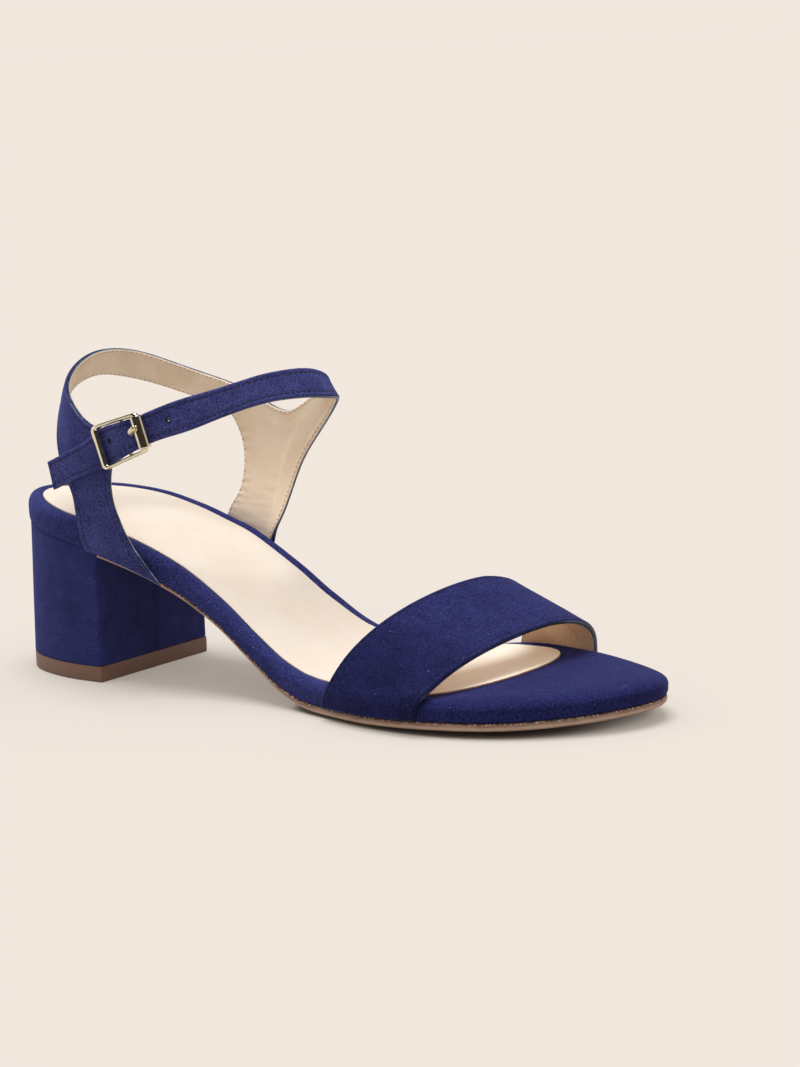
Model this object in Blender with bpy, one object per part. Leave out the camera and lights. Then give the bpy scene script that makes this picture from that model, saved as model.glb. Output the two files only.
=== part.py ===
"""Mid heel ankle strap sandal, right foot, about EU 37, built at real size.

Frame while building: millimetres, +X to the toe with x = 0 at the back of the
insole, +Y to the inner side of the foot, +Z up with the floor at z = 0.
The last lines move it so that the origin is at the middle of the footprint.
"""

import math

import bmesh
import bpy
import numpy as np
from mathutils import Matrix

for old in list(bpy.data.objects):
    bpy.data.objects.remove(old, do_unlink=True)

MM = 0.001
GAP = 0.3

# Sole outline. Half widths either side of the axis, at distances from the heel.
LENGTH = 230.0
# along, outer side, inner side
OUTLINE = (
    (0, 0.0, 0.0),
    (4, 10.1, 10.8),
    (12, 17.8, 18.8),
    (28, 25.9, 26.2),
    (50, 27.1, 25.8),
    (75, 25.9, 21.5),
    (100, 26.1, 21.7),
    (130, 32.4, 31.2),
    (155, 38.9, 37.7),
    (175, 40.3, 39.4),
    (195, 35.8, 37.0),
    (212, 25.4, 28.5),
    (223, 13.6, 20.2),
    (230, -5.8, 5.8),
)

# Height of the insole board's underside: heel seat, arch, ball and toe spring.
# along, height
RISE = (
    (0, 48.2),
    (15, 47.0),
    (30, 44.9),
    (45, 42.0),
    (60, 38.0),
    (75, 32.4),
    (90, 24.4),
    (105, 14.2),
    (118, 6.2),
    (128, 3.3),
    (136, 2.8),
    (152, 2.8),
    (166, 3.5),
    (182, 4.5),
    (200, 5.2),
    (216, 6.1),
    (230, 7.3),
)

# How the padding thins towards the toe.
# along, share of the full height
PADDING = ((0, 1.0), (105, 1.0), (150, 0.93), (200, 0.79), (230, 0.68))

# Section of the wrapped board, from the middle of its underside to its floor.
# inset from the outline, height above the underside
WRAP_SECTION = (
    (2.0, 0.0),
    (0.7, 0.4),
    (0.0, 2.2),
    (0.0, 5.4),
    (0.6, 7.3),
    (1.9, 8.4),
    (3.3, 8.3),
    (4.5, 7.6),
)
STATIONS = 44

SOCK_INSET = 4.8
SOCK_THICK = 0.7
SOCK_NOSE_START = 158.0
SOCK_NOSE_END = 188.5
SOCK_NOSE_LEAN = 2.0
SOCK_NOSE_STEPS = 10

OUTSOLE_BALL = 2.5
OUTSOLE_WAIST = 1.6
WAIST_END = 95.0
BALL_START = 130.0
OUTSOLE_BREAST_GAP = 0.6
OUTSOLE_BEVEL = 0.4
OUTSOLE_STATIONS = 34

HEEL_BREAST = 45.5
LIFT_THICK = 5.0
HEEL_TOP_INSET = 0.5
HEEL_FOOT_BACK = 1.6
HEEL_SQUARE = 0.26
HEEL_SQUARE_REACH = 28.0
HEEL_STATIONS = 14

VAMP_THICK = 1.6
QUARTER_THICK = 1.8


def natural_spline(known, values):
    """Second derivatives of the natural cubic spline through the values."""
    n = len(known)
    system = np.eye(n)
    right = np.zeros(n)
    for i in range(1, n - 1):
        before = known[i] - known[i - 1]
        after = known[i + 1] - known[i]
        system[i, i - 1 : i + 2] = before, 2 * (before + after), after
        steps = (values[i + 1] - values[i]) / after - (values[i] - values[i - 1]) / before
        right[i] = 6 * steps
    return np.linalg.solve(system, right)


class Spline:
    """Natural cubic spline through rows of values."""

    def __init__(self, known, values):
        self.known = np.asarray(known, float)
        self.values = np.asarray(values, float)
        columns = self.values.reshape(len(self.known), -1)
        bends = [natural_spline(self.known, column) for column in columns.T]
        self.bends = np.array(bends).T.reshape(self.values.shape)

    def __call__(self, at):
        at = float(at)
        i = int(np.clip(np.searchsorted(self.known, at) - 1, 0, len(self.known) - 2))
        wide = self.known[i + 1] - self.known[i]
        b = (at - self.known[i]) / wide
        a = 1 - b
        bend = (a**3 - a) * self.bends[i] + (b**3 - b) * self.bends[i + 1]
        return a * self.values[i] + b * self.values[i + 1] + bend * wide**2 / 6


def smooth_steps(known, values):
    """A curve through the values that never overshoots them."""
    known = np.asarray(known, float)
    values = np.asarray(values, float)
    wide = np.diff(known)
    rate = np.diff(values) / wide
    slope = np.zeros(len(known))
    slope[0], slope[-1] = rate[0], rate[-1]
    for i in range(1, len(known) - 1):
        if rate[i - 1] * rate[i] > 0:
            left = 2 * wide[i] + wide[i - 1]
            right = wide[i] + 2 * wide[i - 1]
            slope[i] = (left + right) / (left / rate[i - 1] + right / rate[i])

    def at(x):
        i = int(np.clip(np.searchsorted(known, x) - 1, 0, len(wide) - 1))
        t = (x - known[i]) / wide[i]
        if t < 0:
            return values[0] + slope[0] * (x - known[0])
        if t > 1:
            return values[-1] + slope[-1] * (x - known[-1])
        start = (1 + 2 * t) * (1 - t) ** 2 * values[i] + t * (1 - t) ** 2 * wide[i] * slope[i]
        end = t**2 * (3 - 2 * t) * values[i + 1] + t**2 * (t - 1) * wide[i] * slope[i + 1]
        return start + end

    return at


rise = smooth_steps([row[0] for row in RISE], [row[1] for row in RISE])
padding = smooth_steps([row[0] for row in PADDING], [row[1] for row in PADDING])


def turn_of(along):
    """The angle that stands for a distance along the sole, so both ends come out round."""
    return math.acos(np.clip(1 - 2 * along / LENGTH, -1, 1))


outline = Spline(
    [turn_of(row[0]) for row in OUTLINE],
    [(-row[1], row[2]) for row in OUTLINE],
)


def edge_y(along, side):
    """Outline at a distance along the sole, side 0 outer and side 1 inner."""
    return outline(turn_of(along))[side]


def outline_point(turn, side, inset):
    """A point of the outline moved inwards, in plan."""
    step = 0.004
    low = max(turn - step, 0.0)
    high = min(turn + step, math.pi)

    def at(angle):
        return np.array((LENGTH / 2 * (1 - math.cos(angle)), outline(angle)[side]))

    run = at(high) - at(low)
    if turn < step:
        outward = np.array((-1.0, 0.0))
    elif turn > math.pi - step:
        outward = np.array((1.0, 0.0))
    else:
        run /= np.linalg.norm(run)
        outward = np.array((-run[1], run[0])) * (1 if side else -1)
    return at(turn) - outward * inset


def mesh_object(name, bm):
    bm.normal_update()
    bmesh.ops.recalc_face_normals(bm, faces=bm.faces[:])
    mesh = bpy.data.meshes.new(name)
    bm.to_mesh(mesh)
    bm.free()
    obj = bpy.data.objects.new(name, mesh)
    bpy.context.scene.collection.objects.link(obj)
    return obj


def loft(name, rings, dishes=(0.0, 0.0), across=4):
    """A solid through closed rings. A ring is two rows of points, outer side and inner side.

    The first and the last ring are filled with chords from side to side.
    """
    bm = bmesh.new()
    count = len(rings[0][0])
    first, last = rings[0]
    joined_start = np.allclose(first[0], last[0])
    joined_end = np.allclose(first[-1], last[-1])
    border = [(i, 0) for i in range(count)]
    if not joined_end:
        border += [(count - 1, k) for k in range(1, across)]
    border += [(i, across) for i in range(count - 1, -1, -1)]
    if joined_end:
        border.remove((count - 1, across))
    if joined_start:
        border.remove((0, across))
    else:
        border += [(0, k) for k in range(across - 1, 0, -1)]

    def point(ring, i, k):
        share = k / across
        return np.asarray(ring[0][i]) * (1 - share) + np.asarray(ring[1][i]) * share

    loops = []
    for ring in rings:
        loops.append({key: bm.verts.new(point(ring, *key) * MM) for key in border})
    for low, high in zip(loops, loops[1:]):
        for a, b in zip(border, border[1:] + border[:1]):
            bm.faces.new((low[a], low[b], high[b], high[a]))

    for loop, ring, dish in ((loops[0], rings[0], dishes[0]), (loops[-1], rings[-1], dishes[1])):
        rows = []
        for i in range(count):
            ends = (i == 0 and joined_start) or (i == count - 1 and joined_end)
            if ends:
                rows.append([loop[(i, 0)]] * (across + 1))
                continue
            row = []
            for k in range(across + 1):
                if (i, k) in loop:
                    row.append(loop[(i, k)])
                    continue
                spot = point(ring, i, k)
                share = k / across
                spot[2] -= dish * 4 * share * (1 - share)
                row.append(bm.verts.new(spot * MM))
            rows.append(row)
        for lower, upper in zip(rows, rows[1:]):
            for k in range(across):
                corners = []
                for vert in (lower[k], lower[k + 1], upper[k + 1], upper[k]):
                    if vert not in corners:
                        corners.append(vert)
                if len(corners) > 2:
                    bm.faces.new(corners)
    return mesh_object(name, bm)


def sole_ring(turns, inset, height):
    """A ring at an inset from the outline, height being a function of the distance along."""
    sides = []
    for side in (0, 1):
        spots = [outline_point(turn, side, inset(turn) if callable(inset) else inset) for turn in turns]
        sides.append([np.array((p[0], p[1], height(p[0]))) for p in spots])
    if turns[0] == 0:
        sides[1][0] = sides[0][0]
    if turns[-1] == math.pi:
        sides[1][-1] = sides[0][-1]
    return sides


# Insole board in its suede wrap.
whole = [math.pi * i / STATIONS for i in range(STATIONS + 1)]
wrap_rings = []
for inset, high in WRAP_SECTION:
    wrap_rings.append(sole_ring(whole, inset, lambda x, high=high: rise(x) + high * padding(x)))
loft("footbed_wrap", wrap_rings, dishes=(0.0, 0.0))

# Sock lining, with a rounded front that stops behind the toes.
floor_high = WRAP_SECTION[-1][1]
edge = sole_ring(whole, SOCK_INSET, rise)
outer_x = [p[0] for p in edge[0]]
outer_y = [p[1] for p in edge[0]]
inner_x = [p[0] for p in edge[1]]
inner_y = [p[1] for p in edge[1]]
sock_plan = []
for a, b in zip(edge[0], edge[1]):
    if a[0] < SOCK_NOSE_START:
        sock_plan.append((a[0], a[1], b[0], b[1]))
for step in range(SOCK_NOSE_STEPS + 1):
    part = math.sin(math.pi / 2 * step / SOCK_NOSE_STEPS)
    x = SOCK_NOSE_START + (SOCK_NOSE_END - SOCK_NOSE_START) * part
    left = np.interp(x, outer_x, outer_y)
    right = np.interp(x, inner_x, inner_y)
    middle = (left + right) / 2 * (1 - part**3) + SOCK_NOSE_LEAN * part**3
    full = max(1 - part**3.4, 0) ** 0.45
    sock_plan.append((x, middle + (left - middle) * full, x, middle + (right - middle) * full))


def sock_ring(high):
    def floor(x):
        return rise(x) + floor_high * padding(x) + high

    outer = [np.array((p[0], p[1], floor(p[0]))) for p in sock_plan]
    inner = [np.array((p[2], p[3], floor(p[2]))) for p in sock_plan]
    inner[0] = outer[0]
    inner[-1] = outer[-1]
    return outer, inner


loft("sock_lining", [sock_ring(GAP), sock_ring(GAP + SOCK_THICK)])

# Outsole, from the heel breast to the toe.
breast_turn = turn_of(HEEL_BREAST + OUTSOLE_BREAST_GAP)
front_turns = np.linspace(breast_turn, math.pi, OUTSOLE_STATIONS + 1)
sheet = smooth_steps(
    (HEEL_BREAST, WAIST_END, BALL_START),
    (OUTSOLE_WAIST, OUTSOLE_WAIST, OUTSOLE_BALL),
)


def sheet_under(x):
    return rise(x) - GAP - (sheet(x) if x < BALL_START else OUTSOLE_BALL)


loft(
    "outsole",
    [
        sole_ring(front_turns, 1.1, sheet_under),
        sole_ring(front_turns, 0.5, lambda x: sheet_under(x) + OUTSOLE_BEVEL),
        sole_ring(front_turns, 0.3, lambda x: rise(x) - GAP),
    ],
)

# Block heel and its top lift.
back_turns = np.linspace(0.0, turn_of(HEEL_BREAST), HEEL_STATIONS + 1)
HEEL_LEVELS = (1.0, 0.66, 0.33, 0.0)


def heel_ring(level, low):
    """A ring of the heel, level 0 at the top and 1 at the foot, which is squarer at the back."""
    sides = []
    for side in sole_ring(back_turns, HEEL_TOP_INSET, rise):
        spots = []
        for x, y, _ in side:
            x = min(x, HEEL_BREAST)
            top = rise(x) - GAP
            forward = HEEL_FOOT_BACK * (1 - x / HEEL_BREAST)
            square = HEEL_SQUARE * max(0.0, 1 - x / HEEL_SQUARE_REACH) ** 2
            high = top + (low - top) * level
            spots.append(np.array((x + forward * level, y * (1 + square * level), high)))
        spots[-1][0] = HEEL_BREAST
        sides.append(spots)
    sides[1][0] = sides[0][0]
    return sides


loft("heel_block", [heel_ring(level, LIFT_THICK + GAP) for level in HEEL_LEVELS])
loft("heel_lift", [heel_ring(1.0, 0.0), heel_ring(1.0, LIFT_THICK)])

# Vamp band: a form over the toes, and a strip cut from it between two edges.
CREST_START = 145.0
CREST_HIGH = 42.7
CREST_FALL = 0.515
BAND_FOOT = 0.5
CREST_LEAN = 13.95
SIDE_ROUND = 1.64
TOP_ROUND = 2.03
BASE_OUT = 1.5
# outer base, inner base, bulge over the foot
VAMP_REAR = (138.9, 161.2, 15.5)
VAMP_FRONT = (175.7, 186.4, 9.0)
# height above the underside, how far inside the outline the band may run
HUG = ((0, -1.3), (5.4, -1.3), (7.3, -0.9), (8.6, 0.2), (9.6, 1.8), (10.1, 3.4), (10.5, 60.0))


def vamp_point(turn, share):
    ends = []
    for outer, inner, bulge in (VAMP_REAR, VAMP_FRONT):
        ends.append(outer + (inner - outer) * turn / math.pi + bulge * math.sin(turn))
    x = ends[0] + (ends[1] - ends[0]) * share
    outer_edge = edge_y(x, 0)
    inner_edge = edge_y(x, 1)
    middle = (outer_edge + inner_edge) / 2
    half = (inner_edge - outer_edge) / 2 + BASE_OUT
    lean = math.cos(turn)
    crest = CREST_HIGH - CREST_FALL * (x - CREST_START)
    y = middle - half * math.copysign(abs(lean) ** (2 / SIDE_ROUND), lean)
    y += CREST_LEAN * math.sin(turn) ** 2
    high = BAND_FOOT + (crest - BAND_FOOT) * abs(math.sin(turn)) ** (2 / TOP_ROUND)
    most = np.interp(high / padding(x), [row[0] for row in HUG], [row[1] for row in HUG])
    if turn < math.pi / 2:
        y = min(y, outer_edge + most)
    else:
        y = max(y, inner_edge - most)
    return np.array((x, y, rise(x) + high))


VAMP_TURNS = 40
VAMP_SHARES = 7
VAMP_CROWD = 0.09
bm = bmesh.new()
grid = []
for i in range(VAMP_TURNS + 1):
    u = i / VAMP_TURNS
    turn = math.pi * (u - VAMP_CROWD * math.sin(2 * math.pi * u))
    grid.append([bm.verts.new(vamp_point(turn, j / VAMP_SHARES) * MM) for j in range(VAMP_SHARES + 1)])
for left, right in zip(grid, grid[1:]):
    for j in range(VAMP_SHARES):
        bm.faces.new((left[j], left[j + 1], right[j + 1], right[j]))
vamp = mesh_object("vamp_band", bm)


def thicken(obj, thick):
    wall = obj.modifiers.new("Wall", "SOLIDIFY")
    wall.thickness = thick * MM
    wall.offset = 0
    wall.use_even_offset = True
    wall.use_rim = True


thicken(vamp, VAMP_THICK)

# Wall round the heel and the ankle, at two heights. It starts on the outer side
# by the buckle, goes round the back, along the inner side, over the front of the
# ankle and ends outside its own start, where the strap goes through the buckle.
WALL_LOW, WALL_HIGH = 45.0, 90.0
# x low, y low, x high, y high
WALL = (
    (76, -27.6, 76, -28.0),
    (60, -28.5, 60, -28.2),
    (46, -28.6, 47, -27.2),
    (29, -27.6, 37, -22.6),
    (13.5, -22, 28.5, -15.6),
    (4, -12, 22.5, -7.5),
    (1, 0, 20.2, 1.6),
    (4.5, 12, 22.0, 10.2),
    (16, 21.5, 27.5, 17.8),
    (31, 26, 38.5, 23.3),
    (50, 27.8, 53, 25.4),
    (64, 25.9, 70, 26.2),
    (77, 24.4, 86, 26.9),
    (86, 24.0, 95, 27.4),
    (114, 28.5, 102, 25),
    (131.7, 23.2, 107.2, 16.0),
    (130, 2, 105.5, 3),
    (116, -18, 99, -10),
    (98, -29.5, 89, -21.3),
    (82, -32.3, 78.5, -28.2),
    (66, -30.6, 66, -30.5),
    (52, -30.6, 52, -30.6),
    (38, -30.5, 39.5, -30.5),
    (26, -30.2, 28, -30.2),
)
steps = [0.0]
for a, b in zip(WALL, WALL[1:]):
    steps.append(steps[-1] + math.hypot(b[2] - a[2], b[3] - a[3]))
wall_plan = Spline(steps, WALL)

# Buckle, set in its own axes: along the strap, out of the strap, up the bar.
BUCKLE_AT = (64.0, 79.0)
BUCKLE_TURN = math.radians(18.8)
FRAME_OUT = 32.8
BAR_OUT = 30.05
BULGE = 2.8
BULGE_REACH = 8.0
STRAP_END_FROM = 225.0
buckle_along = np.array((math.cos(BUCKLE_TURN), 0.0, math.sin(BUCKLE_TURN)))
buckle_up = np.array((-math.sin(BUCKLE_TURN), 0.0, math.cos(BUCKLE_TURN)))


def buckle_point(along, out, up):
    spot = np.array((BUCKLE_AT[0], 0.0, BUCKLE_AT[1]))
    return spot + along * buckle_along + up * buckle_up + out * np.array((0.0, -1.0, 0.0))


def wall_point(round_it, high):
    """A point of the wall, from the distance round it and the height."""
    row = wall_plan(round_it)
    share = (high - WALL_LOW) / (WALL_HIGH - WALL_LOW)
    x = row[0] + (row[2] - row[0]) * share
    y = row[1] + (row[3] - row[1]) * share
    if round_it > STRAP_END_FROM:
        along = (x - BUCKLE_AT[0]) * buckle_along[0] + (high - BUCKLE_AT[1]) * buckle_along[2]
        if abs(along) < BULGE_REACH:
            y -= BULGE * math.cos(math.pi / 2 * along / BULGE_REACH) ** 2
    return np.array((x, y, high))


BASE_ABOUT = 38.0
BASE_CLEAR = 0.8


def base_high(round_it):
    """Where the wall stops above the outsole."""
    return rise(wall_point(round_it, BASE_ABOUT)[0]) + BASE_CLEAR


# Edges of the flat pattern, each a smooth line: distance round the wall, height.
LOWER_EDGES = (
    # back of the outer quarter, then under the back strap to the inner quarter
    (
        (29.3, None),
        (31.5, 53.5),
        (33.5, 61),
        (37, 65.6),
        (41.6, 71.2),
        (46.6, 75.8),
        (52, 80),
        (57, 85.2),
        (62.5, 89.8),
        (68, 92),
        (75, 93.1),
        (82, 92.2),
        (92, 89.7),
        (103, 86.4),
        (113, 83.8),
        (120.5, 82),
        (125.6, 79),
        (129.2, 74.3),
        (131.2, 68),
        (131, 61.5),
        (128.2, 54.5),
        (124, 49.5),
        (120, None),
    ),
    # front of the inner quarter, then under the ankle strap to its tip
    (
        (153.2, None),
        (150.6, 36.5),
        (149.4, 41),
        (150.9, 49.5),
        (153, 57),
        (155.8, 66.5),
        (158.4, 73),
        (161.6, 80.4),
        (165, 84.9),
        (170.5, 87.2),
        (177.5, 88.3),
        (184, 89.1),
        (191, 89.4),
        (199, 89),
        (207, 87.5),
        (215, 85.2),
        (225, 81.9),
        (236, 78.3),
        (246, 74.1),
        (256, 69.7),
        (273.6, 62.2),
    ),
)
UPPER_EDGES = (
    # over the ankle strap, the dip of the inner quarter and the back strap
    (
        (277, 69.8),
        (267.5, 74),
        (258.5, 78),
        (248, 82.6),
        (238, 86.6),
        (228, 90.3),
        (218, 93),
        (209, 95.4),
        (200.5, 97),
        (191.5, 97.7),
        (181, 97.5),
        (172, 95.9),
        (165, 93.2),
        (159.6, 89.2),
        (154.4, 85),
        (148.5, 81.7),
        (142, 82.5),
        (134, 86),
        (124, 89.5),
        (110, 93.2),
        (98.5, 96.6),
        (89.5, 99.5),
        (80, 101.1),
        (72, 101),
        (65.5, 99.6),
        (59, 97.2),
        (52, 94.2),
        (45, 91),
        (39.5, 88.2),
        (33.6, 84.8),
        (28, 82.3),
        (17.4, 81.8),
    ),
    # front of the outer quarter, from the tab down
    (
        (18.2, 75.5),
        (20.4, 69.4),
        (21.2, 64),
        (20.5, 58.5),
        (18, 52.5),
        (14, 45.6),
        (8.3, 38.8),
        (3.5, None),
    ),
)
PATTERN_STEP = 3.2


def smooth_edge(rows):
    spots = [(at, base_high(at) if high is None else high) for at, high in rows]
    far = [0.0]
    for a, b in zip(spots, spots[1:]):
        far.append(far[-1] + math.dist(a, b))
    line = Spline(far, spots)
    count = max(2, round(far[-1] / PATTERN_STEP))
    return [tuple(line(far[-1] * i / count)) for i in range(count + 1)]


def base_edge(start, end):
    count = max(2, round(abs(end - start) / PATTERN_STEP))
    spots = [start + (end - start) * i / count for i in range(1, count)]
    return [(at, base_high(at)) for at in spots]


pattern = base_edge(UPPER_EDGES[1][-1][0], LOWER_EDGES[0][0][0])
pattern += smooth_edge(LOWER_EDGES[0])
pattern += base_edge(LOWER_EDGES[0][-1][0], LOWER_EDGES[1][0][0])
pattern += smooth_edge(LOWER_EDGES[1])
pattern += smooth_edge(UPPER_EDGES[0])
pattern += smooth_edge(UPPER_EDGES[1])

# Cuts that let the flat pattern bend, closer together where the strap bulges.
# start, end, step
ROUND_CUTS = ((4.0, 236.0, 4.0), (236.0, 282.0, 2.0))
HEIGHT_CUTS = ((32.0, 104.0, 4.5),)
SLIVER = 0.45

bm = bmesh.new()
bm.faces.new([bm.verts.new((at, high, 0)) for at, high in pattern])
for runs, square in ((ROUND_CUTS, np.array((1, 0, 0))), (HEIGHT_CUTS, np.array((0, 1, 0)))):
    for cut in [at for run in runs for at in np.arange(*run)]:
        everything = bm.verts[:] + bm.edges[:] + bm.faces[:]
        bmesh.ops.bisect_plane(bm, geom=everything, dist=1e-5, plane_co=square * cut, plane_no=square)
bmesh.ops.remove_doubles(bm, verts=bm.verts[:], dist=SLIVER)
bmesh.ops.triangulate(bm, faces=bm.faces[:])
for vert in bm.verts:
    vert.co = wall_point(vert.co.x, vert.co.y) * MM
straps = mesh_object("quarter_straps", bm)
thicken(straps, QUARTER_THICK)


def tube(name, path, radii, flat, sides=10):
    """A round bar along a flat path given in the buckle's axes. flat is square to the path."""
    bm = bmesh.new()
    spots = [np.asarray(p, float) for p in path]
    rings = []
    for i, spot in enumerate(spots):
        run = spots[min(i + 1, len(spots) - 1)] - spots[max(i - 1, 0)]
        across = np.cross(run / np.linalg.norm(run), flat)
        ring = []
        for k in range(sides):
            angle = 2 * math.pi * k / sides
            offset = radii[i] * (math.cos(angle) * across + math.sin(angle) * np.asarray(flat))
            ring.append(bm.verts.new(buckle_point(*(spot + offset)) * MM))
        rings.append(ring)
    for low, high in zip(rings, rings[1:]):
        for k in range(sides):
            bm.faces.new((low[k], low[(k + 1) % sides], high[(k + 1) % sides], high[k]))
    bm.faces.new(rings[0])
    bm.faces.new(rings[-1])
    return mesh_object(name, bm)


def helper(obj):
    obj.hide_render = True
    obj.display_type = "WIRE"
    return obj


def boolean(obj, other, operation):
    change = obj.modifiers.new(other.name, "BOOLEAN")
    change.object = other
    change.operation = operation
    change.solver = "EXACT"


# Buckle frame: a flat bar bent to a box that is narrower at the front.
# along, half height, corner radius, of the outside and of the opening
FRAME_OUTSIDE = ((-10.9, 7.2, 1.5), (10.8, 5.8, 1.3))
FRAME_OPENING = ((-8.4, 5.9, 0.7), (6.8, 4.7, 0.6))
# share of the bar's width from the outside, height above the bar's middle
FRAME_SECTION = (
    (0.0, 0.0),
    (0.06, 0.55),
    (0.22, 0.88),
    (0.5, 0.95),
    (0.78, 0.88),
    (0.94, 0.55),
    (1.0, 0.0),
    (0.92, -0.6),
    (0.75, -0.85),
    (0.25, -0.85),
    (0.08, -0.6),
)
CORNER_STEPS = 5


def rounded_box(shape):
    """Points round a box with rounded corners whose front and back differ in height."""
    (rear, rear_half, rear_round), (fore, fore_half, fore_round) = shape
    corners = (
        (fore - fore_round, fore_half - fore_round, fore_round, 0),
        (rear + rear_round, rear_half - rear_round, rear_round, 90),
        (rear + rear_round, -rear_half + rear_round, rear_round, 180),
        (fore - fore_round, -fore_half + fore_round, fore_round, 270),
    )
    spots = []
    for along, up, radius, start in corners:
        for k in range(CORNER_STEPS + 1):
            angle = math.radians(start + 90 * k / CORNER_STEPS)
            spots.append((along + radius * math.cos(angle), up + radius * math.sin(angle)))
    return spots


bm = bmesh.new()
rings = []
for outside, opening in zip(rounded_box(FRAME_OUTSIDE), rounded_box(FRAME_OPENING)):
    ring = []
    for share, high in FRAME_SECTION:
        along = outside[0] + (opening[0] - outside[0]) * share
        up = outside[1] + (opening[1] - outside[1]) * share
        ring.append(bm.verts.new(buckle_point(along, FRAME_OUT + high, up) * MM))
    rings.append(ring)
for low, high in zip(rings, rings[1:] + rings[:1]):
    for k in range(len(FRAME_SECTION)):
        after = (k + 1) % len(FRAME_SECTION)
        bm.faces.new((low[k], low[after], high[after], high[k]))
frame = mesh_object("buckle_frame", bm)

# Bar across the frame, dropped behind it so that the strap runs over the bar.
BAR_RADIUS = 0.7
BAR_HALF = 5.95
BAR_BEND = 0.9
bar_path = [(0, FRAME_OUT - 0.1, -BAR_HALF)]
for k in range(5):
    angle = math.pi / 2 * k / 4
    high = BAR_OUT + BAR_BEND * (1 - math.sin(angle))
    bar_path.append((0, high, -BAR_HALF + BAR_BEND * (1 - math.cos(angle))))
bar_path += [(spot[0], spot[1], -spot[2]) for spot in reversed(bar_path)]
bar = helper(tube("buckle_bar", bar_path, [BAR_RADIUS] * len(bar_path), (1.0, 0.0, 0.0), 12))
boolean(frame, bar, "UNION")

# Prong: curled round the bar, up through a hole of the strap and onto the frame.
CURL_RADIUS = 1.5
CURL_START, CURL_END = 30, 270
CURL_STEPS = 12
prong_path = []
for turned in np.linspace(CURL_START, CURL_END, CURL_STEPS + 1):
    angle = math.radians(turned)
    spot = (CURL_RADIUS * math.cos(angle), BAR_OUT + CURL_RADIUS * math.sin(angle), 0)
    prong_path.append(spot)
# along, out
PRONG_RUN = (
    (1.3, 28.62),
    (2.6, 29.0),
    (3.6, 29.9),
    (4.3, 31.1),
    (4.8, 32.4),
    (5.4, 33.6),
    (6.3, 34.4),
    (7.4, 34.65),
    (8.9, 34.6),
)
prong_path += [(along, out, 0) for along, out in PRONG_RUN]
prong_radii = list(np.interp(range(len(prong_path)), (0, 13, 18, 21), (0.48, 0.5, 0.7, 0.62)))
tube("buckle_prong", prong_path, prong_radii, (0.0, 0.0, 1.0), 12)
PRONG_HOLE_RADIUS = 1.1
cutter_path = [(along, out, 0) for along, out in PRONG_RUN[1:8]]
cutter_radii = [PRONG_HOLE_RADIUS] * len(cutter_path)
prong_cut = helper(tube("prong_cut", cutter_path, cutter_radii, (0.0, 0.0, 1.0), 14))
boolean(straps, prong_cut, "DIFFERENCE")

# Plain holes of the strap, each square to it. along and up in the buckle's axes.
HOLE_RADIUS = 0.75
HOLE_FROM, HOLE_TO = 26.0, 36.0
for name, along, up in (("hole_back", -4.3, 1.2), ("hole_front", 16.9, 1.1)):
    hole_path = [(along, HOLE_FROM, up), (along, HOLE_TO, up)]
    hole = helper(tube(name, hole_path, [HOLE_RADIUS] * 2, (0.0, 0.0, 1.0), 12))
    boolean(straps, hole, "DIFFERENCE")

# Tab: a leather strip from inside the outer quarter, round the bar and back.
TAB_THICK = 0.8
TAB_HALF = 4.2
TAB_ROUND = BAR_RADIUS + GAP + TAB_THICK / 2
tab_path = [(-12.0, 26.6), (-9.0, 26.6), (-6.0, 26.6), (-3.4, 26.6), (-2.0, 27.1), (-1.0, 28.05)]
for k in range(9):
    angle = math.radians(-75 + 195 * k / 8)
    tab_path.append((TAB_ROUND * math.cos(angle), BAR_OUT + TAB_ROUND * math.sin(angle)))
tab_path.append((-1.7, 30.85))
bm = bmesh.new()
rings = []
for i, spot in enumerate(tab_path):
    before = np.array(tab_path[max(i - 1, 0)])
    after = np.array(tab_path[min(i + 1, len(tab_path) - 1)])
    run = (after - before) / np.linalg.norm(after - before)
    ring = []
    for side, up in ((-1, -1), (1, -1), (1, 1), (-1, 1)):
        along = spot[0] - run[1] * side * TAB_THICK / 2
        out = spot[1] + run[0] * side * TAB_THICK / 2
        ring.append(bm.verts.new(buckle_point(along, out, up * TAB_HALF) * MM))
    rings.append(ring)
for low, high in zip(rings, rings[1:]):
    for k in range(4):
        bm.faces.new((low[k], low[(k + 1) % 4], high[(k + 1) % 4], high[k]))
bm.faces.new(rings[0])
bm.faces.new(rings[-1])
tab = mesh_object("buckle_tab", bm)
# middle along, length along, depth, height
SLOT = (0.5, 7.0, 8.0, 2.0)
bm = bmesh.new()
bmesh.ops.create_cube(bm, size=1.0)
for vert in bm.verts:
    along = SLOT[0] + SLOT[1] * vert.co.x
    vert.co = buckle_point(along, BAR_OUT + SLOT[2] * vert.co.y, SLOT[3] * vert.co.z) * MM
slot = helper(mesh_object("prong_slot", bm))
boolean(tab, slot, "DIFFERENCE")

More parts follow.
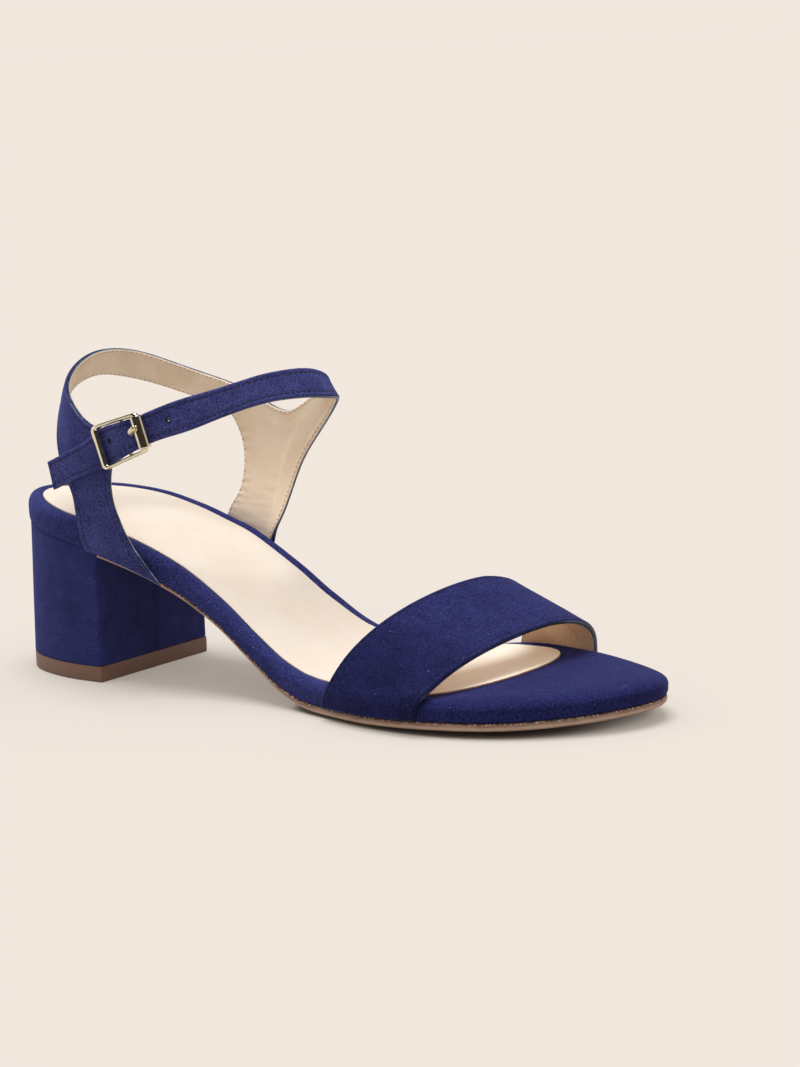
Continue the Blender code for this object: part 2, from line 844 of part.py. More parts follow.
# Finishes. colour in linear light, roughness, metallic, pieces
FINISHES = {
    "suede": (
        (0.016, 0.014, 0.115),
        0.95,
        0.0,
        ("footbed_wrap", "heel_block", "vamp_band", "quarter_straps", "buckle_tab"),
    ),
    "sock_leather": ((0.76, 0.62, 0.46), 0.55, 0.0, ("sock_lining",)),
    "sole_leather": ((0.33, 0.22, 0.14), 0.65, 0.0, ("outsole",)),
    "lift_rubber": ((0.09, 0.036, 0.024), 0.5, 0.0, ("heel_lift",)),
    "buckle_metal": ((0.83, 0.77, 0.63), 0.15, 1.0, ("buckle_frame", "buckle_prong")),
}
SHARP_ANGLE = math.radians(35)
for finish, (colour, roughness, metallic, pieces) in FINISHES.items():
    material = bpy.data.materials.new(finish)
    material.use_nodes = True
    surface = material.node_tree.nodes["Principled BSDF"]
    surface.inputs["Base Color"].default_value = (*colour, 1.0)
    surface.inputs["Roughness"].default_value = roughness
    surface.inputs["Metallic"].default_value = metallic
    for piece in pieces:
        mesh = bpy.data.objects[piece].data
        mesh.materials.append(material)
        mesh.shade_smooth()
        mesh.set_sharp_from_angle(angle=SHARP_ANGLE)

# Origin to the middle of the footprint, on the floor.
bpy.context.view_layer.update()
graph = bpy.context.evaluated_depsgraph_get()
corners = []
for obj in bpy.data.objects:
    if obj.hide_render:
        continue
    shape = obj.evaluated_get(graph).to_mesh()
    corners += [vert.co.copy() for vert in shape.vertices]
low = np.min(np.array(corners), axis=0)
high = np.max(np.array(corners), axis=0)
shift = Matrix.Translation((-(low[0] + high[0]) / 2, -(low[1] + high[1]) / 2, -low[2]))
for obj in bpy.data.objects:
    obj.data.transform(shift)
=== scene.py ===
# %% [markdown]
# # A suede sandal with a block heel
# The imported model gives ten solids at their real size. This lesson dresses them: suede with its nap,
# a leather lining, sewn edges, a bare leather sole edge and a polished buckle. Every piece stays where
# its solid is, so the script starts by loading that frame and keeping its box.

# %% Load the frame
import math

import bmesh
import bpy
import numpy as np
from mathutils import Matrix, Vector, geometry, noise


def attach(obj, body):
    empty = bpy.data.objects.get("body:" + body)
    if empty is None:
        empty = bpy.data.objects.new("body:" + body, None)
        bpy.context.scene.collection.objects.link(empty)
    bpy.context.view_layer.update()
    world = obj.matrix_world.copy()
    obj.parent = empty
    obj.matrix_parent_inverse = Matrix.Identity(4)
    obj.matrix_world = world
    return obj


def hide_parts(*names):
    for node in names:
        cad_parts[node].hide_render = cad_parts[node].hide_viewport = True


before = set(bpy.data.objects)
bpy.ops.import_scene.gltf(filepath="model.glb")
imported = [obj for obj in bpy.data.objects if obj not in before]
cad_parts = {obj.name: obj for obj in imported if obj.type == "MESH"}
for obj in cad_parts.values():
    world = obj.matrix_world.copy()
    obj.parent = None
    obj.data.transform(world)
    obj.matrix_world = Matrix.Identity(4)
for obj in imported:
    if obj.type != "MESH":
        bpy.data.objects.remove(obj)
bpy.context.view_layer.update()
print("nodes:", ", ".join(sorted(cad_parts)))

# %% [markdown]
# A shoemaker measures from the back of the heel, in millimetres. The rearmost point of the footbed
# says where that is in the frame, and one function takes every measure from there to metres.

# %% Measures from the heel
MM = 0.001
bed_points = np.array([vert.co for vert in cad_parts["footbed_wrap"].data.vertices])
heel_back = bed_points[bed_points[:, 0].argmin()]
HEEL = np.array((heel_back[0], heel_back[1], 0.0))


def place(points):
    """Millimetres from the heel's back to the frame's metres."""
    return np.asarray(points, float) * MM + HEEL


print("heel back at", HEEL.round(5))

# %% [markdown]
# The camera stands where the photograph's did: in front, a little above the shoe, on its outer side,
# and turned by two degrees. A long lens keeps the perspective flat.

# %% Camera
CAMERA_AT = (0.5395, -0.70645, 0.2000)
AZIMUTH = math.radians(35.83)
ELEVATION = math.radians(9.741)
ROLL = math.radians(-2.151)
FOCAL_PIXELS = 2946.7
LONG_SIDE_PIXELS = 1067
SENSOR_MM = 36.0

back = Vector((
    math.sin(AZIMUTH) * math.cos(ELEVATION),
    -math.cos(AZIMUTH) * math.cos(ELEVATION),
    math.sin(ELEVATION),
))
level = Vector((math.cos(AZIMUTH), math.sin(AZIMUTH), 0.0))
upright = back.cross(level)
right = level * math.cos(ROLL) + upright * math.sin(ROLL)
up = upright * math.cos(ROLL) - level * math.sin(ROLL)
camera = bpy.data.objects.new("camera", bpy.data.cameras.new("camera"))
camera.data.sensor_width = SENSOR_MM
camera.data.lens = FOCAL_PIXELS * SENSOR_MM / LONG_SIDE_PIXELS
turned = Matrix((right, up, back)).transposed().to_4x4()
camera.matrix_world = Matrix.Translation(CAMERA_AT) @ turned
bpy.context.scene.collection.objects.link(camera)
bpy.context.scene.camera = camera
print("lens", round(camera.data.lens, 1), "mm")

# %% [markdown]
# A few short helpers build node trees. `node` adds one node, sets its options, and for each input
# either links a socket or sets a number, so that a tree reads from top to bottom.

# %% Helpers for node trees


def node(tree, kind, inputs=None, **options):
    made = tree.nodes.new(kind)
    for name, value in options.items():
        setattr(made, name, value)
    for name, value in (inputs or {}).items():
        if isinstance(value, bpy.types.NodeSocket):
            tree.links.new(value, made.inputs[name])
        else:
            made.inputs[name].default_value = value
    return made


def maths(tree, operation, *values):
    made = node(tree, "ShaderNodeMath", dict(enumerate(values)), operation=operation)
    return made.outputs[0]


def mixed(tree, factor, first, second, blend="MIX"):
    """Mixes two colours, each a socket or four numbers, on the node's sockets for colours."""
    sockets = {0: factor, 6: first, 7: second}
    return node(tree, "ShaderNodeMix", sockets, data_type="RGBA", blend_type=blend).outputs[2]


def ranged(tree, value, low, high, to_low=0.0, to_high=1.0):
    """Stretches the values between low and high, softly, and clamps them."""
    inputs = {"Value": value, "From Min": low, "From Max": high, "To Min": to_low, "To Max": to_high}
    return node(tree, "ShaderNodeMapRange", inputs, interpolation_type="SMOOTHSTEP").outputs[0]


def object_spot(tree):
    """Where a point is in the object's own metres."""
    return node(tree, "ShaderNodeTexCoord").outputs["Object"]


def patchy(tree, spot, scale, detail=2.0, roughness=0.5):
    """Soft patches from 0 to 1, with so many to the metre."""
    inputs = {"Vector": spot, "Scale": scale, "Detail": detail, "Roughness": roughness}
    return node(tree, "ShaderNodeTexNoise", inputs).outputs["Fac"]


def carried(tree, name):
    """A number that the mesh carries under a name."""
    return node(tree, "ShaderNodeAttribute", attribute_name=name).outputs["Fac"]


def colour(red, green, blue):
    """A colour as a screen shows it, from 0 to 255, in linear light."""
    shown = np.array((red, green, blue)) / 255
    linear = np.where(shown <= 0.04045, shown / 12.92, ((shown + 0.055) / 1.055) ** 2.4)
    return (*linear.tolist(), 1.0)


print("mid grey on a screen is", round(colour(128, 128, 128)[0], 3), "in linear light")

# %% [markdown]
# The room has one large soft light straight above, in a tent of dimmer light that is brightest behind
# the heel. The camera sees the tent in one even tone. A mirror sees more: the room is dark in front and
# overhead, which gives polished metal its lines.

# %% Light and world
WALL_TONE = np.array(colour(241, 231, 221)[:3])
KEY_STRENGTH = 3.1
KEY_FROM = Vector((-0.10, 0.02, 1.0)).normalized()
KEY_ANGLE = math.radians(34)
TENT_STRENGTH = 1.1
TENT_BRIGHT_FROM = Vector((-0.55, 0.10, 0.80)).normalized()
TENT_SPREAD = (-0.4, 0.8)
TENT_DIM = 0.75
MIRROR_BRIGHT = 1.2
MIRROR_DIM = 0.04
MIRROR_TOWARDS = Vector((0.375, -0.927, 0.0))
MIRROR_FRONT = (0.20, 0.50)
MIRROR_OVERHEAD = (0.25, 0.55)

world = bpy.data.worlds.new("studio")
bpy.context.scene.world = world
world.use_nodes = True
tree = world.node_tree
tree.nodes.clear()
towards = node(tree, "ShaderNodeTexCoord").outputs["Generated"]
rays = node(tree, "ShaderNodeLightPath").outputs


def tent_light(strength):
    return node(tree, "ShaderNodeBackground", {"Color": (*WALL_TONE, 1.0), "Strength": strength}).outputs[0]


def facing(tree, vector, way):
    """How far a vector runs along a fixed way."""
    return node(tree, "ShaderNodeVectorMath", {0: vector, 1: way}, operation="DOT_PRODUCT").outputs["Value"]


bright_share = facing(tree, towards, TENT_BRIGHT_FROM)
tent = tent_light(ranged(tree, bright_share, *TENT_SPREAD, TENT_STRENGTH * TENT_DIM, TENT_STRENGTH))
not_in_front = ranged(tree, facing(tree, towards, MIRROR_TOWARDS), *MIRROR_FRONT, 1.0, 0.0)
upwards = node(tree, "ShaderNodeSeparateXYZ", {"Vector": towards}).outputs["Z"]
not_overhead = ranged(tree, upwards, *MIRROR_OVERHEAD, 1.0, 0.0)
lit_there = maths(tree, "MULTIPLY", not_in_front, not_overhead)
mirrored = tent_light(ranged(tree, lit_there, 0.0, 1.0, MIRROR_DIM, MIRROR_BRIGHT))
wall_seen = tent_light(1.0)
room = node(tree, "ShaderNodeMixShader", {0: rays["Is Glossy Ray"], 1: tent, 2: mirrored}).outputs[0]
room = node(tree, "ShaderNodeMixShader", {0: rays["Is Camera Ray"], 1: room, 2: wall_seen}).outputs[0]
node(tree, "ShaderNodeOutputWorld", {"Surface": room})

key = bpy.data.objects.new("key", bpy.data.lights.new("key", "SUN"))
key.data.energy = KEY_STRENGTH
key.data.angle = KEY_ANGLE
key.rotation_mode = "QUATERNION"
key.rotation_quaternion = KEY_FROM.to_track_quat("Z", "Y")
bpy.context.scene.collection.objects.link(key)
bpy.context.scene.view_settings.view_transform = "Standard"
print("key light", KEY_STRENGTH, "and tent", TENT_STRENGTH)

# %% [markdown]
# The table is pale paper with a painted glow that lifts its shadows. Where something stands close over
# it the glow is taken away, which paints a dark contact shadow. The paper's albedo is worked out so
# that, lit, it has the tent's tone: then no horizon shows. For a mirror the paper ends a little way in
# front.

# %% Floor
FLOOR_HALF = 30.0
# share of the tent's light that reaches the floor
TENT_ON_FLOOR = 0.928
# painted glow that lifts the floor's shadows; within the reach below it is taken away where the floor is
# occluded, which paints a contact shadow
PAINTED_FLOOR_GLOW = 0.30
CONTACT_SHADE_REACH = 0.0045
CONTACT_SHADE_OPEN = (0.18, 0.58)
CONTACT_SHADE_SAMPLES = 16
PAPER_END = (0.20, 0.36)

floor_mesh = bpy.data.meshes.new("floor")
corners = FLOOR_HALF * np.array(((-1, -1, 0), (1, -1, 0), (1, 1, 0), (-1, 1, 0)))
floor_mesh.from_pydata(corners.tolist(), [], [(0, 1, 2, 3)])
floor = bpy.data.objects.new("floor", floor_mesh)
bpy.context.scene.collection.objects.link(floor)
sun_on_floor = KEY_STRENGTH * KEY_FROM.z / math.pi
floor_albedo = WALL_TONE * (1 - PAINTED_FLOOR_GLOW) / (sun_on_floor + WALL_TONE * TENT_STRENGTH * TENT_ON_FLOOR)
paper = bpy.data.materials.new("floor_paper")
paper.use_nodes = True
surface = paper.node_tree.nodes["Principled BSDF"]
surface.inputs["Base Color"].default_value = (*floor_albedo.tolist(), 1.0)
surface.inputs["Roughness"].default_value = 1.0
surface.inputs["Specular IOR Level"].default_value = 0.0
surface.inputs["Emission Color"].default_value = (*WALL_TONE.tolist(), 1.0)
tree = paper.node_tree
rays = node(tree, "ShaderNodeLightPath").outputs
# painted shadow: the glow fades where the floor is occluded close by
open_above = node(tree, "ShaderNodeAmbientOcclusion", {"Distance": CONTACT_SHADE_REACH}, samples=CONTACT_SHADE_SAMPLES)
painted_glow = ranged(tree, open_above.outputs["AO"], *CONTACT_SHADE_OPEN, 0.0, PAINTED_FLOOR_GLOW)
tree.links.new(painted_glow, surface.inputs["Emission Strength"])
past_paper = ranged(tree, facing(tree, object_spot(tree), MIRROR_TOWARDS), *PAPER_END)
past_paper = maths(tree, "MULTIPLY", past_paper, rays["Is Glossy Ray"])
dark_room = node(tree, "ShaderNodeEmission", {"Color": (*(WALL_TONE * MIRROR_DIM), 1.0)}).outputs[0]
ended = node(tree, "ShaderNodeMixShader", {0: past_paper, 1: surface.outputs[0], 2: dark_room}).outputs[0]
tree.links.new(ended, tree.nodes["Material Output"].inputs["Surface"])
floor_mesh.materials.append(paper)
print("floor albedo", floor_albedo.round(3))

# %% [markdown]
# Suede is leather with its fibres raised. Seen close it is a mix of deep and lifted fibres, brushed a
# little this way and that, with bits of pale lint caught in it. Where the mesh's number for painted
# shade says so, the nap is painted darker, as painted shade. One shader group makes this nap for every
# suede piece, with sizes in millimetres turned into noise scales.

# %% Shader group: suede nap
NAP_INPUTS = (
    ("Deep", "NodeSocketColor", colour(22, 26, 68)),
    ("Lifted", "NodeSocketColor", colour(52, 57, 117)),
    ("Lint colour", "NodeSocketColor", colour(150, 150, 182)),
    ("Fibre mm", "NodeSocketFloat", 0.5),
    ("Brush mm", "NodeSocketFloat", 3.2),
    ("Cloud mm", "NodeSocketFloat", 15.0),
    ("Lint mm", "NodeSocketFloat", 1.5),
    ("Lint amount", "NodeSocketFloat", 0.28),
    ("Fibre amount", "NodeSocketFloat", 1.0),
    # the tint that paints shade where the mesh's number says so
    ("Painted shade tint", "NodeSocketColor", colour(186, 188, 208)),
)
BRUSH_STRETCH = (0.45, 1.0, 0.75)
# what brush and clouds add to the fibres, and the sums between which the tone lifts
BRUSH_SHARE = 0.35
CLOUD_SHARE = 0.25
LIFTED_FROM = (0.5, 1.2)
# a bit of lint fades out between these shares of its cell, and only cells picked above this have one
LINT_FADE = (0.07, 0.15)
LINT_PICKED = 0.82


def shader_group(name, inputs, outputs):
    group = bpy.data.node_groups.new(name, "ShaderNodeTree")
    for label, kind, value in inputs:
        group.interface.new_socket(label, in_out="INPUT", socket_type=kind).default_value = value
    for label, kind in outputs:
        group.interface.new_socket(label, in_out="OUTPUT", socket_type=kind)
    given = group.nodes.new("NodeGroupInput")
    return group, given.outputs


def group_output(group, **values):
    node(group, "NodeGroupOutput", {name.replace("_", " "): value for name, value in values.items()})


def scale_of(tree, millimetres):
    """The noise scale, in patterns a metre, for a size in millimetres."""
    return maths(tree, "DIVIDE", 1000.0, millimetres)


nap, given = shader_group(
    "Suede nap", NAP_INPUTS, (("Colour", "NodeSocketColor"), ("Height", "NodeSocketFloat"))
)
spot = object_spot(nap)
brushed_spot = node(nap, "ShaderNodeMapping", {"Vector": spot, "Scale": BRUSH_STRETCH}).outputs[0]
fibre = patchy(nap, spot, scale_of(nap, given["Fibre mm"]), 3.0, 0.7)
brush = patchy(nap, brushed_spot, scale_of(nap, given["Brush mm"]), 3.0, 0.6)
cloud = patchy(nap, spot, scale_of(nap, given["Cloud mm"]))
standing = maths(nap, "MULTIPLY", maths(nap, "SUBTRACT", fibre, 0.5), given["Fibre amount"])
raised = maths(nap, "ADD", maths(nap, "ADD", standing, 0.5), maths(nap, "MULTIPLY", brush, BRUSH_SHARE))
raised = maths(nap, "ADD", raised, maths(nap, "MULTIPLY", cloud, CLOUD_SHARE))
tone = ranged(nap, raised, *LIFTED_FROM)
napped = mixed(nap, tone, given["Deep"], given["Lifted"])
# painted shade: where the mesh's number says so, the nap is multiplied darker
shade_painted_nap = mixed(nap, 1.0, napped, given["Painted shade tint"], "MULTIPLY")
napped = mixed(nap, carried(nap, "brushed"), napped, shade_painted_nap)
lint = node(nap, "ShaderNodeTexVoronoi", {"Vector": spot, "Scale": scale_of(nap, given["Lint mm"])})
near = ranged(nap, lint.outputs["Distance"], *LINT_FADE, 1.0, 0.0)
picked = node(nap, "ShaderNodeSeparateColor", {"Color": lint.outputs["Color"]}).outputs[0]
caught = maths(nap, "MULTIPLY", near, maths(nap, "GREATER_THAN", picked, LINT_PICKED))
caught = maths(nap, "MULTIPLY", caught, given["Lint amount"])
linted = mixed(nap, caught, napped, given["Lint colour"])
group_output(nap, Colour=linted, Height=maths(nap, "ADD", fibre, brush))
print("group", nap.name, "with", len(nap.nodes), "nodes")

# %% [markdown]
# Smooth leather has a fine grain of cells and soft clouds where it was finished by hand. Where the
# meshes carry a number for it, it is painted paler, as painted light. The lining, the sock and the
# sole's cut edge share one group for it, each with its own sizes.

# %% Shader group: leather grain
GRAIN_INPUTS = (
    ("Pale", "NodeSocketColor", colour(214, 196, 172)),
    ("Shade", "NodeSocketColor", colour(190, 168, 142)),
    ("Grain mm", "NodeSocketFloat", 0.7),
    ("Cloud mm", "NodeSocketFloat", 14.0),
    ("Pore amount", "NodeSocketFloat", 0.3),
    # the paler tone that painted light lifts a surface to
    ("Worn", "NodeSocketColor", colour(248, 240, 226)),
)
PORE_WIDE = 0.16
PORE_DEEP = 0.5
# between which cloud values the shade and the gloss come in, and how far the shade goes
SHADED_FROM = (0.38, 0.66)
GLOSSY_FROM = (0.3, 0.7)
SHADED_MOST = 0.75
grain, given = shader_group(
    "Leather grain",
    GRAIN_INPUTS,
    (("Colour", "NodeSocketColor"), ("Height", "NodeSocketFloat"), ("Gloss", "NodeSocketFloat")),
)
spot = object_spot(grain)
cells = node(
    grain,
    "ShaderNodeTexVoronoi",
    {"Vector": spot, "Scale": scale_of(grain, given["Grain mm"]), "Randomness": 1.0},
    feature="DISTANCE_TO_EDGE",
).outputs["Distance"]
pores = ranged(grain, cells, 0.0, PORE_WIDE, 1.0, 0.0)
clouds = patchy(grain, spot, scale_of(grain, given["Cloud mm"]), 4.0, 0.55)
shaded = maths(grain, "MULTIPLY", ranged(grain, clouds, *SHADED_FROM), SHADED_MOST)
shaded = maths(grain, "ADD", shaded, maths(grain, "MULTIPLY", pores, given["Pore amount"]))
toned = mixed(grain, shaded, given["Pale"], given["Shade"])
# painted light: the tone is mixed paler by the mesh's number
group_output(
    grain,
    Colour=mixed(grain, carried(grain, "worn"), toned, given["Worn"]),
    Height=maths(grain, "SUBTRACT", clouds, maths(grain, "MULTIPLY", pores, PORE_DEEP)),
    Gloss=ranged(grain, clouds, *GLOSSY_FROM),
)
print("group", grain.name, "with", len(grain.nodes), "nodes")

# %% [markdown]
# A cut edge of leather is inked, and rubs lighter along its outermost line. The meshes carry a number
# named cut, 1 on such an edge and 0 elsewhere, and this group lays the ink by it.

# %% Shader group: inked edge
INKED_FROM = (0.35, 0.75)
RUBBED_FROM = (0.45, 0.68)
ink_edge, given = shader_group(
    "Inked edge",
    (
        ("Surface", "NodeSocketColor", colour(60, 60, 110)),
        ("Ink", "NodeSocketColor", colour(20, 26, 54)),
        ("Rubbed", "NodeSocketColor", colour(42, 54, 88)),
        ("Rub mm", "NodeSocketFloat", 5.0),
    ),
    (("Colour", "NodeSocketColor"), ("Cut", "NodeSocketFloat")),
)
cut = ranged(ink_edge, carried(ink_edge, "cut"), *INKED_FROM)
patches = patchy(ink_edge, object_spot(ink_edge), scale_of(ink_edge, given["Rub mm"]), 3.0)
inked = mixed(ink_edge, ranged(ink_edge, patches, *RUBBED_FROM), given["Ink"], given["Rubbed"])
group_output(ink_edge, Colour=mixed(ink_edge, cut, given["Surface"], inked), Cut=cut)
print("group", ink_edge.name, "with", len(ink_edge.nodes), "nodes")

# %% [markdown]
# Each material places those groups with its own values. The Principled shader stays in the material,
# and a value that is the same all over goes straight on its socket. The suede of the band, the straps,
# the footbed and the heel is one hide. The band's tone is set darker, as painted shade, and the
# straps' lighter, as painted light; each piece's fibres stand up by their own amount.

# %% Suede


def grouped(tree, group, **values):
    """Places a shader group, with underscores in the names of its inputs read as spaces."""
    inputs = {name.replace("_", " "): value for name, value in values.items()}
    return node(tree, "ShaderNodeGroup", inputs, node_tree=group).outputs


def new_material(name, **plain):
    """A material with plain values set on its shader's sockets, underscores read as spaces."""
    made = bpy.data.materials.new(name)
    made.use_nodes = True
    shader = made.node_tree.nodes["Principled BSDF"]
    for label, value in plain.items():
        shader.inputs[label.replace("_", " ")].default_value = value
    return made, made.node_tree, shader


def bumped(tree, shader, height, deep_mm, strength=1.0):
    made = node(tree, "ShaderNodeBump", {"Height": height, "Strength": strength, "Distance": deep_mm * MM})
    tree.links.new(made.outputs[0], shader.inputs["Normal"])


NAP_ROUGH = 0.92
INK_ROUGH = 0.4
INK_COAT = 0.5


def suede(name, edge=True, **nap_values):
    made, tree, shader = new_material(
        name,
        Roughness=NAP_ROUGH,
        Specular_IOR_Level=0.12,
        Sheen_Weight=0.2,
        Sheen_Roughness=0.42,
        Sheen_Tint=colour(104, 114, 218),
    )
    napped = grouped(tree, nap, **nap_values)
    tone = napped["Colour"]
    if edge:
        inked = grouped(tree, ink_edge, Surface=tone)
        tone = inked["Colour"]
        tree.links.new(ranged(tree, inked["Cut"], 0.0, 1.0, NAP_ROUGH, INK_ROUGH), shader.inputs["Roughness"])
        tree.links.new(ranged(tree, inked["Cut"], 0.0, 1.0, 0.0, INK_COAT), shader.inputs["Coat Weight"])
    tree.links.new(tone, shader.inputs["Base Color"])
    bumped(tree, shader, napped["Height"], deep_mm=0.16, strength=0.7)
    return made


# painted shade: the band's and the tab's suede is set darker
upper_suede = suede("upper_suede", Deep=colour(12, 16, 54), Lifted=colour(45, 49, 105), Fibre_amount=1.8)
# painted light: the straps' suede is set lighter
strap_suede = suede("strap_suede", Deep=colour(28, 33, 80), Lifted=colour(72, 76, 134), Fibre_amount=1.6)
wrap_suede = suede("wrap_suede", edge=False, Fibre_amount=2.3)
heel_cover_suede = suede("heel_cover_suede", edge=False, Fibre_amount=0.6)
print("materials:", len(bpy.data.materials))

# %% [markdown]
# The lining, the sock and the sole differ in tone, in the size of their grain and in the ink on their
# cut edges.

# %% Leather


def leather(name, roughness, edge=None, rub_mm=5.0, deep_mm=0.08, **grain_values):
    made, tree, shader = new_material(name, Specular_IOR_Level=0.4, IOR=1.45)
    grained = grouped(tree, grain, **grain_values)
    tone = grained["Colour"]
    if edge:
        tone = grouped(tree, ink_edge, Surface=tone, Ink=edge[0], Rubbed=edge[1], Rub_mm=rub_mm)["Colour"]
    tree.links.new(tone, shader.inputs["Base Color"])
    tree.links.new(ranged(tree, grained["Gloss"], 0.0, 1.0, *roughness), shader.inputs["Roughness"])
    bumped(tree, shader, grained["Height"], deep_mm, strength=0.6)
    return made


INK = (colour(52, 68, 102), colour(104, 128, 158))
BAND_INK = (colour(22, 30, 54), colour(52, 68, 100))
upper_lining = leather(
    "upper_lining",
    (0.42, 0.62),
    edge=INK,
    Pale=colour(215, 202, 182),
    Shade=colour(203, 182, 159),
    Grain_mm=0.55,
    # the paler tone of the painted light at the lining's foot
    Worn=colour(250, 235, 214),
)
# painted light: the band's lining is set paler and warmer than the upper's, to lift the shade under the band
band_lining = leather(
    "band_lining",
    (0.5, 0.7),
    edge=BAND_INK,
    deep_mm=0.14,
    Pale=colour(242, 210, 177),
    Shade=colour(210, 170, 134),
    Grain_mm=0.75,
    Pore_amount=0.55,
)
sock_leather = leather(
    "sock_leather",
    (0.52, 0.66),
    edge=(colour(150, 118, 94), colour(176, 150, 126)),
    deep_mm=0.05,
    Pale=colour(206, 198, 189),
    Shade=colour(200, 189, 177),
    Grain_mm=0.5,
    Cloud_mm=30.0,
    Pore_amount=0.12,
)
sole_leather = leather(
    "sole_leather",
    (0.4, 0.6),
    edge=(colour(92, 68, 60), colour(196, 172, 148)),
    rub_mm=0.8,
    deep_mm=0.12,
    Pale=colour(146, 118, 104),
    Shade=colour(120, 92, 80),
    Grain_mm=0.6,
    Cloud_mm=5.0,
    Pore_amount=0.25,
    # the paler tone of the painted light on the edge's lower part
    Worn=colour(204, 180, 160),
)
print("materials:", len(bpy.data.materials))

# %% [markdown]
# Thread is twisted, rubber is ground to shape and then buffed, and the pale gold metal is polished,
# apart from the prong, which is satin.

# %% Thread, rubber and metal


def sewing_thread(name, dark, pale):
    made, tree, shader = new_material(name, Roughness=0.6, Specular_IOR_Level=0.3)
    twist = patchy(tree, object_spot(tree), scale=4000.0)
    tree.links.new(mixed(tree, twist, dark, pale), shader.inputs["Base Color"])
    bumped(tree, shader, twist, deep_mm=0.05)
    return made


blue_thread = sewing_thread("blue_thread", colour(15, 17, 44), colour(32, 35, 80))
band_thread = sewing_thread("band_thread", colour(14, 16, 46), colour(26, 28, 74))
lining_thread = sewing_thread("lining_thread", colour(84, 80, 92), colour(126, 118, 122))

rubber, tree, shader = new_material("lift_rubber", Specular_IOR_Level=0.35)
ground = patchy(tree, object_spot(tree), scale=900.0, detail=4.0)
buffed = patchy(tree, object_spot(tree), scale=120.0)
tree.links.new(mixed(tree, buffed, colour(104, 76, 65), colour(116, 88, 75)), shader.inputs["Base Color"])
tree.links.new(ranged(tree, ground, 0.3, 0.7, 0.42, 0.62), shader.inputs["Roughness"])
bumped(tree, shader, ground, deep_mm=0.05, strength=0.5)


def pale_gold(name, smooth, rough):
    made, tree, shader = new_material(name, Metallic=1.0)
    worn = patchy(tree, object_spot(tree), scale=700.0, detail=3.0)
    tone = mixed(tree, worn, colour(226, 218, 192), colour(240, 232, 206))
    tree.links.new(tone, shader.inputs["Base Color"])
    tree.links.new(ranged(tree, worn, 0.35, 0.75, smooth, rough), shader.inputs["Roughness"])
    bumped(tree, shader, worn, deep_mm=0.01, strength=0.3)
    return made


metal = pale_gold("polished_gold", smooth=0.08, rough=0.2)
prong_metal = pale_gold("satin_gold", smooth=0.32, rough=0.44)
print("materials:", len(bpy.data.materials))

# %% [markdown]
# A piece is a mesh in the frame's metres, smooth where it bends and sharp at its edges. It rides on
# the frame's one body, takes its material, and stands for the solid that it dresses, which it hides. No
# leather lies quite even, so a smooth noise with a fixed seed can lift its points.

# %% Making a piece
SHARP = math.radians(50)


def piece(name, points, faces, material, slot, stands_for, **numbers):
    mesh = bpy.data.meshes.new(name)
    mesh.from_pydata(place(points).tolist(), [], [list(map(int, face)) for face in faces])
    mesh.materials.append(material)
    for label, values in numbers.items():
        mesh.attributes.new(label, "FLOAT", "POINT").data.foreach_set("value", np.asarray(values, np.float32))
    shaped = bmesh.new()
    shaped.from_mesh(mesh)
    bmesh.ops.recalc_face_normals(shaped, faces=shaped.faces[:])
    shaped.to_mesh(mesh)
    open_edges = sum(1 for edge in shaped.edges if len(edge.link_faces) != 2)
    shaped.free()
    mesh.shade_smooth()
    mesh.set_sharp_from_angle(angle=SHARP)
    made = bpy.data.objects.new(name, mesh)
    bpy.context.scene.collection.objects.link(made)
    dress(made, stands_for)
    print(f"{name}: {len(mesh.polygons)} faces, {open_edges} open edges")
    return made


def dress(made, stands_for=None):
    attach(made, "root")
    if stands_for:
        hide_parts(stands_for)


def wobble(points, size, seed):
    """Smooth unevenness from -1 to 1 at each point, patterns of that size in millimetres."""
    return np.array([noise.noise(Vector(p) / size + Vector((seed, 0.0, 0.0))) for p in np.asarray(points)])


def unevenness(points, rows):
    """How far each point is off, from rows of a height, a size in millimetres and a seed."""
    return sum(high * wobble(points, size, seed) for high, size, seed in rows)


print("edges stay sharp from", round(math.degrees(SHARP)), "degrees")

# %% [markdown]
# Two kinds of curve join the rows of a short table. A natural spline is the smoothest line through them.
# The other curve never overshoots its rows, so a flat stretch stays flat.

# %% Curves through rows


class Spline:
    """Natural cubic spline through rows of values."""

    def __init__(self, known, values):
        self.known = np.asarray(known, float)
        self.values = np.asarray(values, float).reshape(len(self.known), -1)
        system = np.eye(len(self.known))
        bend = np.zeros_like(self.values)
        wide = np.diff(self.known)
        rate = np.diff(self.values, axis=0) / wide[:, None]
        for i in range(1, len(self.known) - 1):
            system[i, i - 1 : i + 2] = wide[i - 1], 2 * (wide[i - 1] + wide[i]), wide[i]
            bend[i] = 6 * (rate[i] - rate[i - 1])
        self.bends = np.linalg.solve(system, bend)

    def __call__(self, at):
        at = np.atleast_1d(np.asarray(at, float))
        i = np.clip(np.searchsorted(self.known, at) - 1, 0, len(self.known) - 2)
        wide = (self.known[i + 1] - self.known[i])[:, None]
        b = (at - self.known[i])[:, None] / wide
        a = 1 - b
        bend = (a**3 - a) * self.bends[i] + (b**3 - b) * self.bends[i + 1]
        return a * self.values[i] + b * self.values[i + 1] + bend * wide**2 / 6


